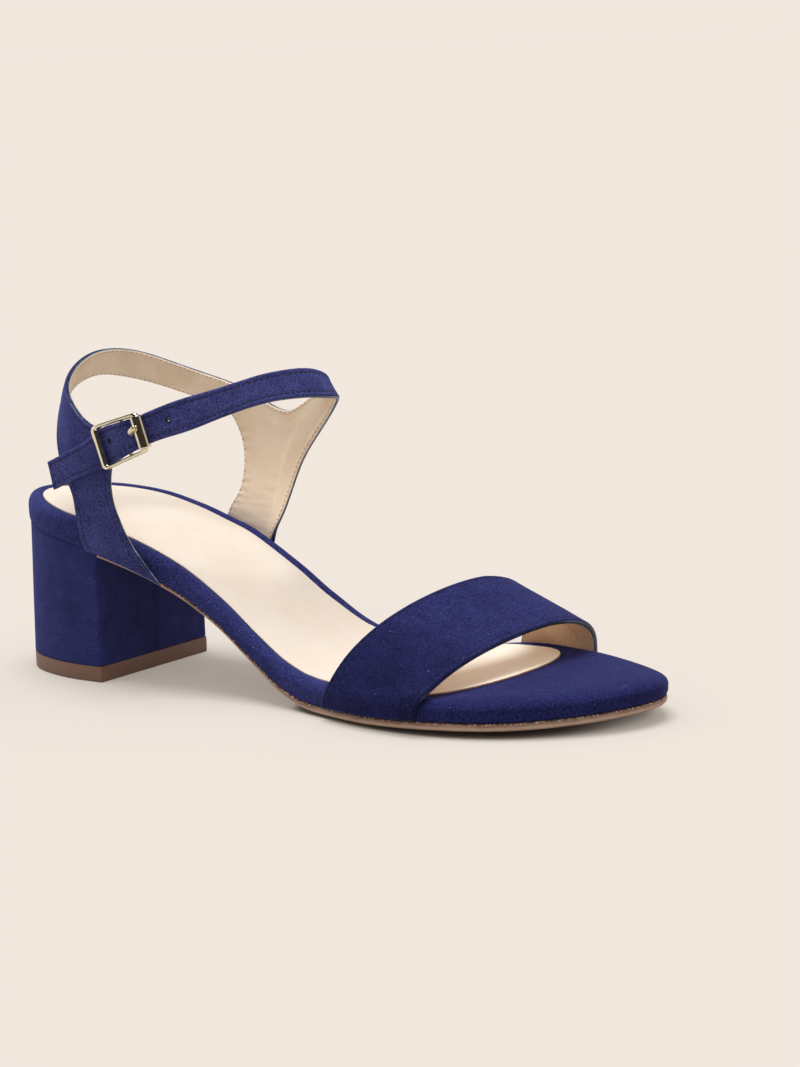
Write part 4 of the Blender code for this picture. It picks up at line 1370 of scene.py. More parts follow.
def grid_faces(columns, rows):
    return [
        (i * rows + j, (i + 1) * rows + j, (i + 1) * rows + j + 1, i * rows + j + 1)
        for i in range(columns - 1)
        for j in range(rows - 1)
    ]


def outward_normals(grid):
    normals = grid_normals(grid)
    at_crest = normals[grid.shape[0] // 2, grid.shape[1] // 2]
    return normals if at_crest[2] > 0 else -normals


band, band_edge, band_base = band_grid()
print("band of", band.shape[0], "columns and", band.shape[1], "rows")

# %% [markdown]
# Leather pulled over a rim spans a hollow instead of following it, so hollows near the base are filled.
# There the band also thins and tucks in, because it is lasted under the board.

# %% Vamp band
VAMP_HALF = 0.8
TUCK_REACH = 4.5
TUCK_THIN = 0.75
FILL_ROUNDS = 500
FILL_BASE = (18.0, 30.0)
NORMAL_ROUNDS = 3
# height, size, seed
BAND_UNEVEN = ((0.10, 14.0, 21.0), (0.04, 4.0, 23.0))
BAND_UNEVEN_FROM = (1.5, 5.0)
# across the band, where the painted shade on its outer side begins and is full
BAND_PAINTED_SHADE = (8.0, 36.0)
BAND_EDGE_INK = (0.15, 0.45)
# depths of the face where the two sheets meet
BAND_SUEDE_BACK = -0.08
BAND_LINING_BACK = -0.13
band_normal = outward_normals(band)
near_base = 1 - smoothstep(band_base, *FILL_BASE)[1:-1]
for _ in range(FILL_ROUNDS):
    hollow = ((band[:-2] + band[2:]) / 2 - band[1:-1]) * band_normal[1:-1]
    filled = np.maximum(hollow.sum(axis=2), 0) * near_base
    band[1:-1] += filled[:, :, None] * band_normal[1:-1]
band_normal = outward_normals(band)
for _ in range(NORMAL_ROUNDS):
    band_normal[1:-1] = (band_normal[:-2] + 2 * band_normal[1:-1] + band_normal[2:]) / 4
band_normal /= np.linalg.norm(band_normal, axis=2)[:, :, None]
band_tuck = TUCK_THIN * (1 - smoothstep(band_base, 0.0, TUCK_REACH))
faces = grid_faces(*band.shape[:2])
flat_band = band.reshape(-1, 3)
flat_normal = band_normal.reshape(-1, 3)
band_far = band_edge.reshape(-1)
band_top = rolled(band_far, VAMP_HALF, drop=0.4, reach=0.6, trough=0.16) - band_tuck.reshape(-1)
band_top = band_top + unevenness(flat_band, BAND_UNEVEN) * smoothstep(band_far, *BAND_UNEVEN_FROM)
points, made_faces, on_rim = layer(flat_band, flat_normal, faces, band_top, BAND_SUEDE_BACK)
# painted shade: the band's outer side is made darker
brushed = np.tile(smoothstep(-flat_band[:, 1], *BAND_PAINTED_SHADE), 2)
piece("band_suede", points, made_faces, upper_suede, "suede", "vamp_band", cut=on_rim, brushed=brushed)
lining_face = rolled(band_far, VAMP_HALF, drop=0.25, reach=0.5, trough=0.1)
points, made_faces, on_rim = layer(flat_band, flat_normal, faces, BAND_LINING_BACK, -lining_face)
inked = np.maximum(on_rim, np.tile(1 - smoothstep(band_far, *BAND_EDGE_INK), 2))
piece("band_lining", points, made_faces, band_lining, "lining", "vamp_band", cut=inked)

# %% [markdown]
# The quarters, the back strap and the ankle strap are one flat pattern wrapped round the heel and the
# ankle. The wall that it follows is a plan at two heights. Over the buckle's bar the strap bulges out,
# the back strap stands full at its outer corner, and the strap's bend on the inner side is eased.

# %% The wall round the ankle
WALL_LOW = 45.0
WALL_HIGH = 90.0
# x low, y low, x high, y high
WALL = (
    (76, -27.6, 76, -28.0),
    (60, -28.5, 60, -28.2),
    (46, -28.6, 47, -27.2),
    (29, -27.6, 37, -22.6),
    (13.5, -22, 28.5, -15.6),
    (4, -12, 22.5, -7.5),
    (1, 0, 20.2, 1.6),
    (4.5, 12, 22.0, 10.2),
    (16, 21.5, 27.5, 17.8),
    (31, 26, 38.5, 23.3),
    (50, 27.8, 53, 25.4),
    (64, 25.9, 70, 26.2),
    (77, 24.4, 86, 26.9),
    (86, 24.0, 95, 27.4),
    (114, 28.5, 102, 25),
    (131.7, 23.2, 107.2, 16.0),
    (130, 2, 105.5, 3),
    (116, -18, 99, -10),
    (98, -29.5, 89, -21.3),
    (82, -32.3, 78.5, -28.2),
    (66, -30.6, 66, -30.5),
    (52, -30.6, 52, -30.6),
    (38, -30.5, 39.5, -30.5),
    (26, -30.2, 28, -30.2),
)
wall_plan = Spline(along_line([row[2:] for row in WALL]), WALL)
BUCKLE_AT = (64.0, 79.0)
BUCKLE_TURN = math.radians(18.8)
BULGE = 2.8
BULGE_REACH = 8.0
STRAP_END_FROM = 225.0
REAR_FULL = 1.5
REAR_MIDDLE, REAR_REACH = 50.0, 16.0
REAR_FROM, REAR_TO = 78.0, 92.0
REAR_WAY = np.array((0.81, 0.585))
BEND_EASE = 2.1
BEND_MIDDLE, BEND_REACH = 171.0, 10.0
BEND_FROM, BEND_TO = 82.0, 98.0
BASE_ABOUT = 38.0
BASE_CLEAR = -0.05
SLOPE_STEP = 0.25


def wall_points(flat):
    """Points of the wall from rows of distance round it and height."""
    flat = np.asarray(flat, float)
    row = wall_plan(flat[:, 0])
    share = ((flat[:, 1] - WALL_LOW) / (WALL_HIGH - WALL_LOW))[:, None]
    plan = row[:, :2] + (row[:, 2:] - row[:, :2]) * share
    full = REAR_FULL * np.exp(-(((flat[:, 0] - REAR_MIDDLE) / REAR_REACH) ** 2))
    full = full * smoothstep(flat[:, 1], REAR_FROM, REAR_TO)
    ease = BEND_EASE * np.exp(-(((flat[:, 0] - BEND_MIDDLE) / BEND_REACH) ** 2))
    ease = ease * smoothstep(flat[:, 1], BEND_FROM, BEND_TO)
    plan = plan - (full + ease)[:, None] * REAR_WAY
    along = (plan[:, 0] - BUCKLE_AT[0]) * math.cos(BUCKLE_TURN)
    along = along + (flat[:, 1] - BUCKLE_AT[1]) * math.sin(BUCKLE_TURN)
    bulge = BULGE * np.cos(math.pi / 2 * np.clip(along / BULGE_REACH, -1, 1)) ** 2
    plan[:, 1] -= np.where(flat[:, 0] > STRAP_END_FROM, bulge, 0.0)
    return np.column_stack((plan, flat[:, 1]))


def wall_normals(flat):
    """Unit normals of the wall, pointing away from the ankle."""
    runs = [wall_points(flat + step) - wall_points(flat - step) for step in SLOPE_STEP * np.eye(2)]
    square = np.cross(runs[1], runs[0])
    return square / np.linalg.norm(square, axis=1)[:, None]


def base_high(at):
    """Where the wall stops above the outsole."""
    at = np.atleast_1d(np.asarray(at, float))
    return rise(wall_points(np.column_stack((at, np.full(len(at), BASE_ABOUT))))[:, 0]) + BASE_CLEAR


print("wall", round(wall_plan.known[-1]), "mm round at", WALL_HIGH, "mm")

# %% [markdown]
# The pattern's edges are smooth lines of distance round the wall and height, one after another. Two
# short runs along the bases of the quarters close them to one outline.

# %% The flat pattern
# distance round the wall, height; None is the base
EDGES = {
    "back of the outer quarter, back strap, back of the inner quarter": (
        (31.2, None),
        (33.6, 53.5),
        (35.7, 61),
        (39, 65.5),
        (42.9, 70.8),
        (47.2, 75.5),
        (52, 80),
        (57, 85.2),
        (62.5, 89.8),
        (68, 92),
        (75, 93.1),
        (82, 92.2),
        (92, 89.7),
        (103, 86.4),
        (113, 83.8),
        (119.6, 82.2),
        (124.3, 79),
        (127.9, 74.3),
        (130.5, 68),
        (131, 61.5),
        (129.1, 54.5),
        (124.6, 49.5),
        (120, None),
    ),
    "front of the inner quarter, under the ankle strap": (
        (151.5, None),
        (150.6, 36.5),
        (151.9, 41),
        (154.3, 46.5),
        (155.5, 53),
        (156.1, 59),
        (157.1, 66.5),
        (158.8, 73),
        (161.7, 80.4),
        (165, 84.9),
        (170.5, 87.2),
        (177.5, 88.3),
        (184, 89.1),
        (191, 89.4),
        (199, 89),
        (207, 87.5),
        (215, 85.2),
        (225, 81.7),
        (236, 78.2),
        (246, 73.0),
        (256, 69.2),
        (274.8, 61.5),
    ),
    "over the ankle strap, the dip and the back strap": (
        (277.2, 70.2),
        (267.5, 74.6),
        (258.5, 79.5),
        (253.5, 82.4),
        (248, 83.9),
        (238, 87.2),
        (228, 90.9),
        (218, 93.4),
        (209, 95.4),
        (200.5, 97),
        (191.5, 97.7),
        (181, 97.5),
        (172, 95.9),
        (165, 93.2),
        (159.6, 89.2),
        (154.4, 85),
        (148.5, 81.7),
        (142, 82.5),
        (134, 86),
        (124, 89.5),
        (110, 93.2),
        (98.5, 96.6),
        (89.5, 99.5),
        (80, 101.1),
        (72, 101),
        (65.5, 99.6),
        (59, 97.2),
        (52, 94.2),
        (45, 91),
        (39.5, 88.2),
        (33.6, 84.8),
        (28, 82.3),
        (17.4, 81.8),
    ),
    "front of the outer quarter": (
        (18.2, 75.5),
        (20.4, 69.4),
        (21.2, 64),
        (20.5, 58.5),
        (18, 52.5),
        (14, 45.6),
        (8.3, 38.8),
        (3.5, None),
    ),
}
PATTERN_STEP = 0.8


def smooth_edge(rows):
    spots = [(at, float(base_high(at)[0]) if high is None else high) for at, high in rows]
    far = along_line(spots)
    return Spline(far, spots)(np.linspace(0, far[-1], round(far[-1] / PATTERN_STEP) + 1))


def base_edge(start, end):
    at = np.linspace(start, end, round(abs(end - start) / PATTERN_STEP) + 1)[1:-1]
    return np.column_stack((at, base_high(at)))


edges = [smooth_edge(rows) for rows in EDGES.values()]
pattern = np.vstack((
    edges[0],
    base_edge(edges[0][-1, 0], edges[1][0, 0]),
    edges[1],
    edges[2],
    edges[3],
    base_edge(edges[3][-1, 0], edges[0][0, 0]),
))
print("pattern of", len(pattern), "points,", round(along_line(pattern)[-1]), "mm round")

# %% [markdown]
# To fill the pattern, the script has to know whether a flat spot is inside it, how far it is from the
# edge, and where a place beside the buckle lies on the strap.

# %% On the flat pattern
MEASURED_AT_ONCE = 500
# keeps a mitre at a sharp corner short
MITRE_LEAST = 0.3
STRAP_END = 280.0
STRAP_STATIONS = 400


def inward(loop):
    """Unit steps into a closed flat loop, mitred at its corners."""
    before = loop - np.roll(loop, 1, axis=0)
    after = np.roll(loop, -1, axis=0) - loop
    before /= np.linalg.norm(before, axis=1)[:, None]
    after /= np.linalg.norm(after, axis=1)[:, None]
    area = np.sum(loop[:, 0] * np.roll(loop[:, 1], -1) - np.roll(loop[:, 0], -1) * loop[:, 1])
    hand = 1 if area > 0 else -1
    square = hand * np.stack((-before[:, 1] - after[:, 1], before[:, 0] + after[:, 0]), axis=1) / 2
    return square / np.maximum((square**2).sum(axis=1), MITRE_LEAST)[:, None]


def distance_to(loop, spots):
    """Distance of each flat spot from a closed loop of short edges."""
    run = np.roll(loop, -1, axis=0) - loop
    run_squared = (run**2).sum(axis=1)
    found = np.full(len(spots), np.inf)
    for first in range(0, len(spots), MEASURED_AT_ONCE):
        some = slice(first, first + MEASURED_AT_ONCE)
        to = spots[some, None] - loop[None]
        share = np.clip((to * run[None]).sum(axis=2) / run_squared, 0, 1)
        off = to - share[:, :, None] * run[None]
        found[some] = np.sqrt((off**2).sum(axis=2)).min(axis=1)
    return found


def inside(loop, spots):
    """Whether each flat spot is inside a closed loop."""
    after = np.roll(loop, -1, axis=0)
    odd = np.zeros(len(spots), bool)
    for a, b in zip(loop, after):
        crosses = (a[1] > spots[:, 1]) != (b[1] > spots[:, 1])
        with np.errstate(divide="ignore", invalid="ignore"):
            at = a[0] + (spots[:, 1] - a[1]) * (b[0] - a[0]) / (b[1] - a[1])
        odd ^= crosses & (spots[:, 0] < at)
    return odd


def strap_spot(along, up_bar):
    """The flat place on the strap for a place in the buckle's axes."""
    x = BUCKLE_AT[0] + along * math.cos(BUCKLE_TURN) - up_bar * math.sin(BUCKLE_TURN)
    high = BUCKLE_AT[1] + along * math.sin(BUCKLE_TURN) + up_bar * math.cos(BUCKLE_TURN)
    at = np.linspace(STRAP_END_FROM, STRAP_END, STRAP_STATIONS)
    across = wall_points(np.column_stack((at, np.full(len(at), high))))[:, 0]
    return np.array((np.interp(-x, -across, at), high))


def used_alone(count, faces):
    """Which of so many points the faces use, and the faces numbered among those alone."""
    used = np.unique([k for face in faces for k in face])
    renumber = np.full(count, -1)
    renumber[used] = np.arange(len(used))
    return used, [tuple(renumber[list(face)]) for face in faces]


print("buckle's bar crosses the strap at", strap_spot(0.0, 0.0).round(1))

# %% [markdown]
# The flat pattern is filled with triangles in one go: its outline, a few lines drawn in from it for
# the rolled edge, and a grid inside. The strap's holes are small circles left out of the filling.

# %% Filling the pattern
RING_STEPS = (0.12, 0.3, 0.55, 0.85, 1.15, 1.45, 1.75, 2.1, 2.6)
FILL_STEP = 1.1
FILL_EXACT = 1e-5
# a ring's spot is kept where it is as far from the edge as it was drawn in, within this
RING_CLEAR = 0.06
# the grid stays so far from the last ring and from the holes
FILL_CLEAR = 0.4
HOLE_CLEAR = 0.35
HOLE_RADIUS = 0.62
PRONG_HOLE_RADIUS = 0.95
HOLE_SIDES = 20
# along and up in the buckle's axes, radius
HOLES = ((-4.3, 1.2, HOLE_RADIUS), (16.9, 1.1, HOLE_RADIUS), (5.5, 0.45, PRONG_HOLE_RADIUS))
spots = [pattern]
step_in = inward(pattern)
for ring in RING_STEPS:
    drawn = pattern + step_in * ring
    true_far = distance_to(pattern, drawn)
    spots.append(drawn[(true_far > ring - RING_CLEAR) & inside(pattern, drawn)])
low, high = pattern.min(axis=0), pattern.max(axis=0)
across, upward = np.meshgrid(np.arange(low[0], high[0], FILL_STEP), np.arange(low[1], high[1], FILL_STEP))
staggered = 0.5 * FILL_STEP * (np.round(upward.ravel() / FILL_STEP) % 2)
fill = np.column_stack((across.ravel() + staggered, upward.ravel()))
fill = fill[inside(pattern, fill)]
fill = fill[distance_to(pattern, fill) > RING_STEPS[-1] + FILL_CLEAR]
hole_spots = [strap_spot(along, up_bar) for along, up_bar, _ in HOLES]
for spot_at, (_, _, radius) in zip(hole_spots, HOLES):
    fill = fill[np.linalg.norm(fill - spot_at, axis=1) > radius + HOLE_CLEAR]
spots.append(fill)
hole_edges = []
total = sum(map(len, spots))
for spot_at, (_, _, radius) in zip(hole_spots, HOLES):
    angle = WHOLE_TURN * np.arange(HOLE_SIDES) / HOLE_SIDES
    spots.append(spot_at + radius * np.column_stack((np.cos(angle), np.sin(angle))))
    hole_edges += [(total + k, total + (k + 1) % HOLE_SIDES) for k in range(HOLE_SIDES)]
    total += HOLE_SIDES
flat = np.vstack(spots)
outside = [(k, (k + 1) % len(pattern)) for k in range(len(pattern))]
filled = geometry.delaunay_2d_cdt(
    [Vector(spot_at) for spot_at in flat], outside + hole_edges, [list(range(len(pattern)))], 1, FILL_EXACT
)
flat = np.array([tuple(vert) for vert in filled[0]])
triangles = np.array(filled[2])
middles = flat[triangles].mean(axis=1)
open_there = np.zeros(len(triangles), bool)
for spot_at, (_, _, radius) in zip(hole_spots, HOLES):
    open_there |= np.linalg.norm(middles - spot_at, axis=1) < radius
used, triangles = used_alone(len(flat), triangles[~open_there])
flat = flat[used]
triangles = np.array(triangles)
a, b, c = flat[triangles[:, 0]], flat[triangles[:, 1]], flat[triangles[:, 2]]
turned_over = np.cross(b - a, c - a) > 0
triangles[turned_over] = triangles[turned_over][:, ::-1]
print("pattern filled with", len(triangles), "triangles")

# %% [markdown]
# The filled pattern is wrapped on the wall twice, as suede and as lining. Where the quarters reach the
# board they thin and tuck in.

# %% Quarters and straps in suede
QUARTER_HALF = 0.9
# round the wall, where the outer quarter ends, and from where to where the inner one is
OUTER_QUARTER_END = 35
INNER_QUARTER = (112, 160)
# height, size, seed
QUARTER_UNEVEN = ((0.09, 13.0, 31.0), (0.04, 4.0, 33.0))
QUARTER_UNEVEN_FROM = (1.5, 4.0)
# depths of the face where the two sheets meet
QUARTER_SUEDE_BACK = -0.1
QUARTER_LINING_BACK = -0.15
wall = wall_points(flat)
wall_normal = wall_normals(flat)
edge_far = distance_to(pattern, flat)


def quarter_tuck(flat):
    """How much thinner the quarters get where they are tucked in at their base."""
    above_base = flat[:, 1] - base_high(flat[:, 0])
    on_inner = (flat[:, 0] > INNER_QUARTER[0]) & (flat[:, 0] < INNER_QUARTER[1])
    on_quarter = (flat[:, 0] < OUTER_QUARTER_END) | on_inner
    return np.where(on_quarter, TUCK_THIN * (1 - smoothstep(above_base, 0.0, TUCK_REACH)), 0.0)


suede_face = rolled(edge_far, QUARTER_HALF, drop=0.42, reach=0.6, trough=0.17) - quarter_tuck(flat)
suede_face = suede_face + unevenness(wall, QUARTER_UNEVEN) * smoothstep(edge_far, *QUARTER_UNEVEN_FROM)
points, made_faces, on_rim = layer(wall, wall_normal, triangles.tolist(), suede_face, QUARTER_SUEDE_BACK)
piece("quarter_suede", points, made_faces, strap_suede, "suede", "quarter_straps", cut=on_rim)

# %% [markdown]
# The lining has the wrinkles that the photograph shows at the inner quarter's foot, along its back edge
# and under the back strap, each placed one by one across the leather. The awl goes through the strap at a
# slant, so each free hole comes out lower in the lining.

# %% Quarters and straps in lining
# so many of HOLES, from the first, are free
FREE_HOLES = 2
HOLE_SLANT = 0.9
HOLE_SLANT_REACH = 2.0
WRINKLE_DEEPER = 1.6
WRINKLE_FROM = (0.2, 1.2)
# a ridge runs beside the inner quarter's front edge: height, distance from the edge, half width, span
EDGE_RIDGE = 0.25
EDGE_RIDGE_AT = 5.5
EDGE_RIDGE_HALF = 1.8
EDGE_RIDGE_FROM = (134, 142)
EDGE_RIDGE_END = 172
# the lining is painted paler towards its foot, as painted light: how much, and between which heights
LINING_PAINTED_LIGHT = 0.95
LINING_PAINTED_LIGHT_HIGH = (44.0, 80.0)
# at the left end round the wall and height, at the right end, depth, half width
LINING_WRINKLES = (
    ((127, 74.5), (133, 74.0), 0.22, 0.7),
    ((128, 71.8), (134, 71.0), 0.24, 0.7),
    ((128, 69.0), (133, 68.0), 0.22, 0.6),
    ((128, 64.6), (134, 63.8), 0.22, 0.6),
    ((127, 61.4), (134, 60.2), 0.26, 0.7),
    ((126, 58.4), (135, 57.4), 0.26, 0.7),
    ((125, 55.6), (136, 54.6), 0.26, 0.7),
    ((123, 53.0), (140, 51.6), 0.24, 0.7),
    ((122, 50.6), (146, 49.4), 0.24, 0.8),
    ((124, 48.2), (150, 46.4), 0.22, 0.8),
    ((126, 46.0), (150, 44.0), 0.20, 0.8),
    ((128, 43.6), (150, 41.6), 0.18, 0.8),
    ((138, 55.6), (151, 54.0), 0.16, 0.7),
    ((141, 59.8), (152, 58.6), 0.14, 0.7),
    ((134, 52.4), (147, 53.2), 0.14, 0.6),
    ((132, 49.0), (143, 48.0), 0.16, 0.6),
    ((130, 46.8), (141, 45.6), 0.16, 0.6),
    ((52, 82.4), (55, 87.0), 0.20, 0.6),
    ((54, 84.2), (57, 90.0), 0.22, 0.6),
    ((57, 86.6), (59, 92.0), 0.20, 0.6),
    ((60, 88.8), (61, 94.0), 0.18, 0.6),
    ((63, 90.6), (64, 95.5), 0.16, 0.6),
    ((67, 92.0), (67.5, 96.0), 0.14, 0.7),
)
wrinkled = WRINKLE_DEEPER * creased(flat, LINING_WRINKLES) * smoothstep(edge_far, *WRINKLE_FROM)
edge_ridge = EDGE_RIDGE * np.exp(-(((edge_far - EDGE_RIDGE_AT) / EDGE_RIDGE_HALF) ** 2))
edge_ridge = edge_ridge * smoothstep(flat[:, 0], *EDGE_RIDGE_FROM) * (flat[:, 0] < EDGE_RIDGE_END)
lining_face = rolled(edge_far, QUARTER_HALF, drop=0.45, reach=0.5, trough=0.1) - wrinkled + edge_ridge
slanted = flat.copy()
for spot_at in hole_spots[:FREE_HOLES]:
    away = np.linalg.norm(flat - spot_at, axis=1)
    slanted[:, 1] -= HOLE_SLANT * np.exp(-((away / HOLE_SLANT_REACH) ** 2))
points, made_faces, on_rim = layer(
    wall_points(slanted), wall_normals(slanted), triangles.tolist(), QUARTER_LINING_BACK, -lining_face
)
# painted light: the lining is made paler towards its foot
worn = np.tile(LINING_PAINTED_LIGHT * (1 - smoothstep(flat[:, 1], *LINING_PAINTED_LIGHT_HIGH)), 2)
piece("quarter_lining", points, made_faces, upper_lining, "lining", "quarter_straps", cut=on_rim, worn=worn)

# %% [markdown]
# A lockstitch shows as a row of short dashes, each sunk at its ends. A Geometry Nodes tree lays such a
# row along any line of points that carries the surface's normal: it resamples the line to the pitch,
# puts a flattened bead on each point, turns it along the line, and slants it a little.

# %% Stitch tree
THREAD_FLAT = 0.8
stitching = bpy.data.node_groups.new("Stitch row", "GeometryNodeTree")
STITCH_INPUTS = (
    ("Pitch", 2.05 * MM),
    ("Stitch length", 1.5 * MM),
    ("Thread width", 0.48 * MM),
    ("Slant", 0.10),
    ("Slant spread", 0.07),
)
stitching.interface.new_socket("Line", in_out="INPUT", socket_type="NodeSocketGeometry")
for label, value in STITCH_INPUTS:
    stitching.interface.new_socket(label, in_out="INPUT", socket_type="NodeSocketFloat").default_value = value
stitching.interface.new_socket("Seed", in_out="INPUT", socket_type="NodeSocketInt").default_value = 7
stitching.interface.new_socket("Thread", in_out="INPUT", socket_type="NodeSocketMaterial")
stitching.interface.new_socket("Stitches", in_out="OUTPUT", socket_type="NodeSocketGeometry")
given = stitching.nodes.new("NodeGroupInput").outputs
line = node(stitching, "GeometryNodeMeshToCurve", {"Mesh": given["Line"]}).outputs[0]
paced = node(stitching, "GeometryNodeResampleCurve", {"Curve": line, "Length": given["Pitch"]}, mode="LENGTH")
bead = node(stitching, "GeometryNodeMeshIcoSphere", {"Radius": 1.0, "Subdivisions": 2}).outputs["Mesh"]
half_long = maths(stitching, "MULTIPLY", given["Stitch length"], 0.5)
half_wide = maths(stitching, "MULTIPLY", given["Thread width"], 0.5)
flatter = maths(stitching, "MULTIPLY", half_wide, THREAD_FLAT)
size = node(stitching, "ShaderNodeCombineXYZ", {"X": half_long, "Y": half_wide, "Z": flatter}).outputs[0]
along = node(stitching, "GeometryNodeInputTangent").outputs[0]
upward = node(
    stitching, "GeometryNodeInputNamedAttribute", {"Name": "outward"}, data_type="FLOAT_VECTOR"
).outputs[0]
aimed = node(stitching, "FunctionNodeAlignRotationToVector", {"Vector": along}, axis="X").outputs[0]
aimed = node(
    stitching,
    "FunctionNodeAlignRotationToVector",
    {"Rotation": aimed, "Vector": upward},
    axis="Z",
    pivot_axis="X",
).outputs[0]
low_slant = maths(stitching, "SUBTRACT", given["Slant"], given["Slant spread"])
high_slant = maths(stitching, "ADD", given["Slant"], given["Slant spread"])
spread = node(
    stitching,
    "FunctionNodeRandomValue",
    {2: low_slant, 3: high_slant, "Seed": given["Seed"]},
    data_type="FLOAT",
)
slanted = node(stitching, "ShaderNodeCombineXYZ", {"Z": spread.outputs[1]}).outputs[0]
slanted = node(stitching, "FunctionNodeEulerToRotation", {"Euler": slanted}).outputs[0]
aimed = node(
    stitching, "FunctionNodeRotateRotation", {"Rotation": aimed, "Rotate By": slanted}, rotation_space="LOCAL"
).outputs[0]
laid = node(
    stitching,
    "GeometryNodeInstanceOnPoints",
    {"Points": paced.outputs[0], "Instance": bead, "Rotation": aimed, "Scale": size},
).outputs[0]
real = node(stitching, "GeometryNodeRealizeInstances", {"Geometry": laid}).outputs[0]
smooth = node(stitching, "GeometryNodeSetShadeSmooth", {"Geometry": real}).outputs[0]
threaded = node(stitching, "GeometryNodeSetMaterial", {"Geometry": smooth, "Material": given["Thread"]})
node(stitching, "NodeGroupOutput", {"Stitches": threaded.outputs[0]})
print("tree", stitching.name, "with", len(stitching.nodes), "nodes")

# %% [markdown]
# To run the tree, an object holds the lines as edges with their normals, and carries the tree as a
# modifier. The evaluated result becomes a plain mesh, and the line object goes.

# %% Running a tree on lines


def run_tree(name, tree, lines, values):
    """A plain mesh from the tree on lines of (points, normals), in millimetres."""
    mesh = bpy.data.meshes.new(name + "_lines")
    starts = np.cumsum([0] + [len(points) for points, _ in lines])
    joined = []
    for start, (points, _) in zip(starts, lines):
        joined += [(start + k, start + k + 1) for k in range(len(points) - 1)]
    mesh.from_pydata(place(np.vstack([points for points, _ in lines])).tolist(), joined, [])
    outward = np.vstack([normals for _, normals in lines]).astype(np.float32)
    mesh.attributes.new("outward", "FLOAT_VECTOR", "POINT").data.foreach_set("vector", outward.ravel())
    guide = bpy.data.objects.new(name + "_lines", mesh)
    bpy.context.scene.collection.objects.link(guide)
    modifier = guide.modifiers.new("Tree", "NODES")
    modifier.node_group = tree
    names = {item.name: item.identifier for item in tree.interface.items_tree if item.in_out == "INPUT"}
    for label, value in values.items():
        modifier[names[label]] = value
    graph = bpy.context.evaluated_depsgraph_get()
    made_mesh = bpy.data.meshes.new_from_object(guide.evaluated_get(graph))
    made_mesh.name = name
    bpy.data.objects.remove(guide)
    bpy.data.meshes.remove(mesh)
    made = bpy.data.objects.new(name, made_mesh)
    bpy.context.scene.collection.objects.link(made)
    dress(made)
    print(f"{name}: {len(made_mesh.polygons)} faces")
    return made


print("inputs:", ", ".join(item.name for item in stitching.interface.items_tree if item.in_out == "INPUT"))

# %% [markdown]
# The upper's edges, drawn in by the seam's distance, are the lines. On the suede the stitches lie in
# the trough that they pull, and in the lining they run closer to the edge.

# %% Rows of stitches
SUNK = 0.2
LINING_STITCH_IN = 0.55
LINE_CLEAR = 0.15
TIP_STEPS = 12
# stitches stop so many columns short of the band's base
BASE_COLUMNS = 8
# how far the thread stands out of its trough
BAND_THREAD_UP = 0.06
QUARTER_THREAD_UP = 0.08
LINING_THREAD_UP = 0.02


def wall_line(rows, deep, far=STITCH_IN):
    """A line on the wall drawn in from an edge, at a depth along the normals."""
    run = np.gradient(rows, axis=0)
    run /= np.linalg.norm(run, axis=1)[:, None]
    sideways = np.stack((-run[:, 1], run[:, 0]), axis=1) * far
    middle = len(rows) // 2
    within = inside(pattern, (rows + sideways)[middle : middle + 1])[0]
    drawn = rows + sideways if within else rows - sideways
    drawn = drawn[inside(pattern, drawn) & (distance_to(pattern, drawn) > far - LINE_CLEAR)]
    outward = wall_normals(drawn)
    depth = deep - quarter_tuck(drawn) if deep > 0 else np.full(len(drawn), deep)
    return wall_points(drawn) + outward * depth[:, None], outward * (1 if deep > 0 else -1)


tip = np.linspace(edges[1][-1], edges[2][0], TIP_STEPS)
outer_edges = (edges[0], edges[1], tip, edges[2], edges[3])
outer_lines = [wall_line(rows, QUARTER_HALF - SUNK + QUARTER_THREAD_UP) for rows in outer_edges]
inner_lines = [wall_line(rows, -(QUARTER_HALF + LINING_THREAD_UP), LINING_STITCH_IN) for rows in edges]
band_lines = []
stitch_row = EDGE_ROWS.index(STITCH_IN)
kept = slice(BASE_COLUMNS, -BASE_COLUMNS)
for row_at in (stitch_row, -1 - stitch_row):
    points, normals = band[kept, row_at], band_normal[kept, row_at]
    deep = VAMP_HALF - SUNK + BAND_THREAD_UP - band_tuck[kept, row_at]
    band_lines.append((points + normals * deep[:, None], normals))
band_values = {"Thread": band_thread, "Seed": 4, "Thread width": 0.4 * MM}
run_tree("stitches_band", stitching, band_lines, band_values)
run_tree("stitches_outside", stitching, outer_lines, {"Thread": blue_thread, "Seed": 3})
lining_values = {
    "Thread": lining_thread,
    "Seed": 5,
    "Pitch": 1.7 * MM,
    "Stitch length": 0.85 * MM,
    "Thread width": 0.26 * MM,
}
run_tree("stitches_inside", stitching, inner_lines, lining_values)

# %% [markdown]
# The buckle has axes of its own: along the strap, out of it, and up the bar. Its two basic shapes are a
# box with rounded corners and a round bar along a path.

# %% Shapes in the buckle's axes
CORNER_STEPS = 9
SIDE_STEPS = 6
# a round bar's ends close in by shares of its radius
ROUND_END = (0.35, 0.75, 0.94)
buckle_along = np.array((math.cos(BUCKLE_TURN), 0.0, math.sin(BUCKLE_TURN)))
buckle_up = np.array((-math.sin(BUCKLE_TURN), 0.0, math.cos(BUCKLE_TURN)))


def buckle_points(spots):
    """Millimetres from the heel, from rows of along the strap, out of it and up the bar."""
    spots = np.asarray(spots, float)
    centre = np.array((BUCKLE_AT[0], 0.0, BUCKLE_AT[1]))
    outward = np.array((0.0, -1.0, 0.0))
    return centre + spots[:, :1] * buckle_along + spots[:, 1:2] * outward + spots[:, 2:] * buckle_up


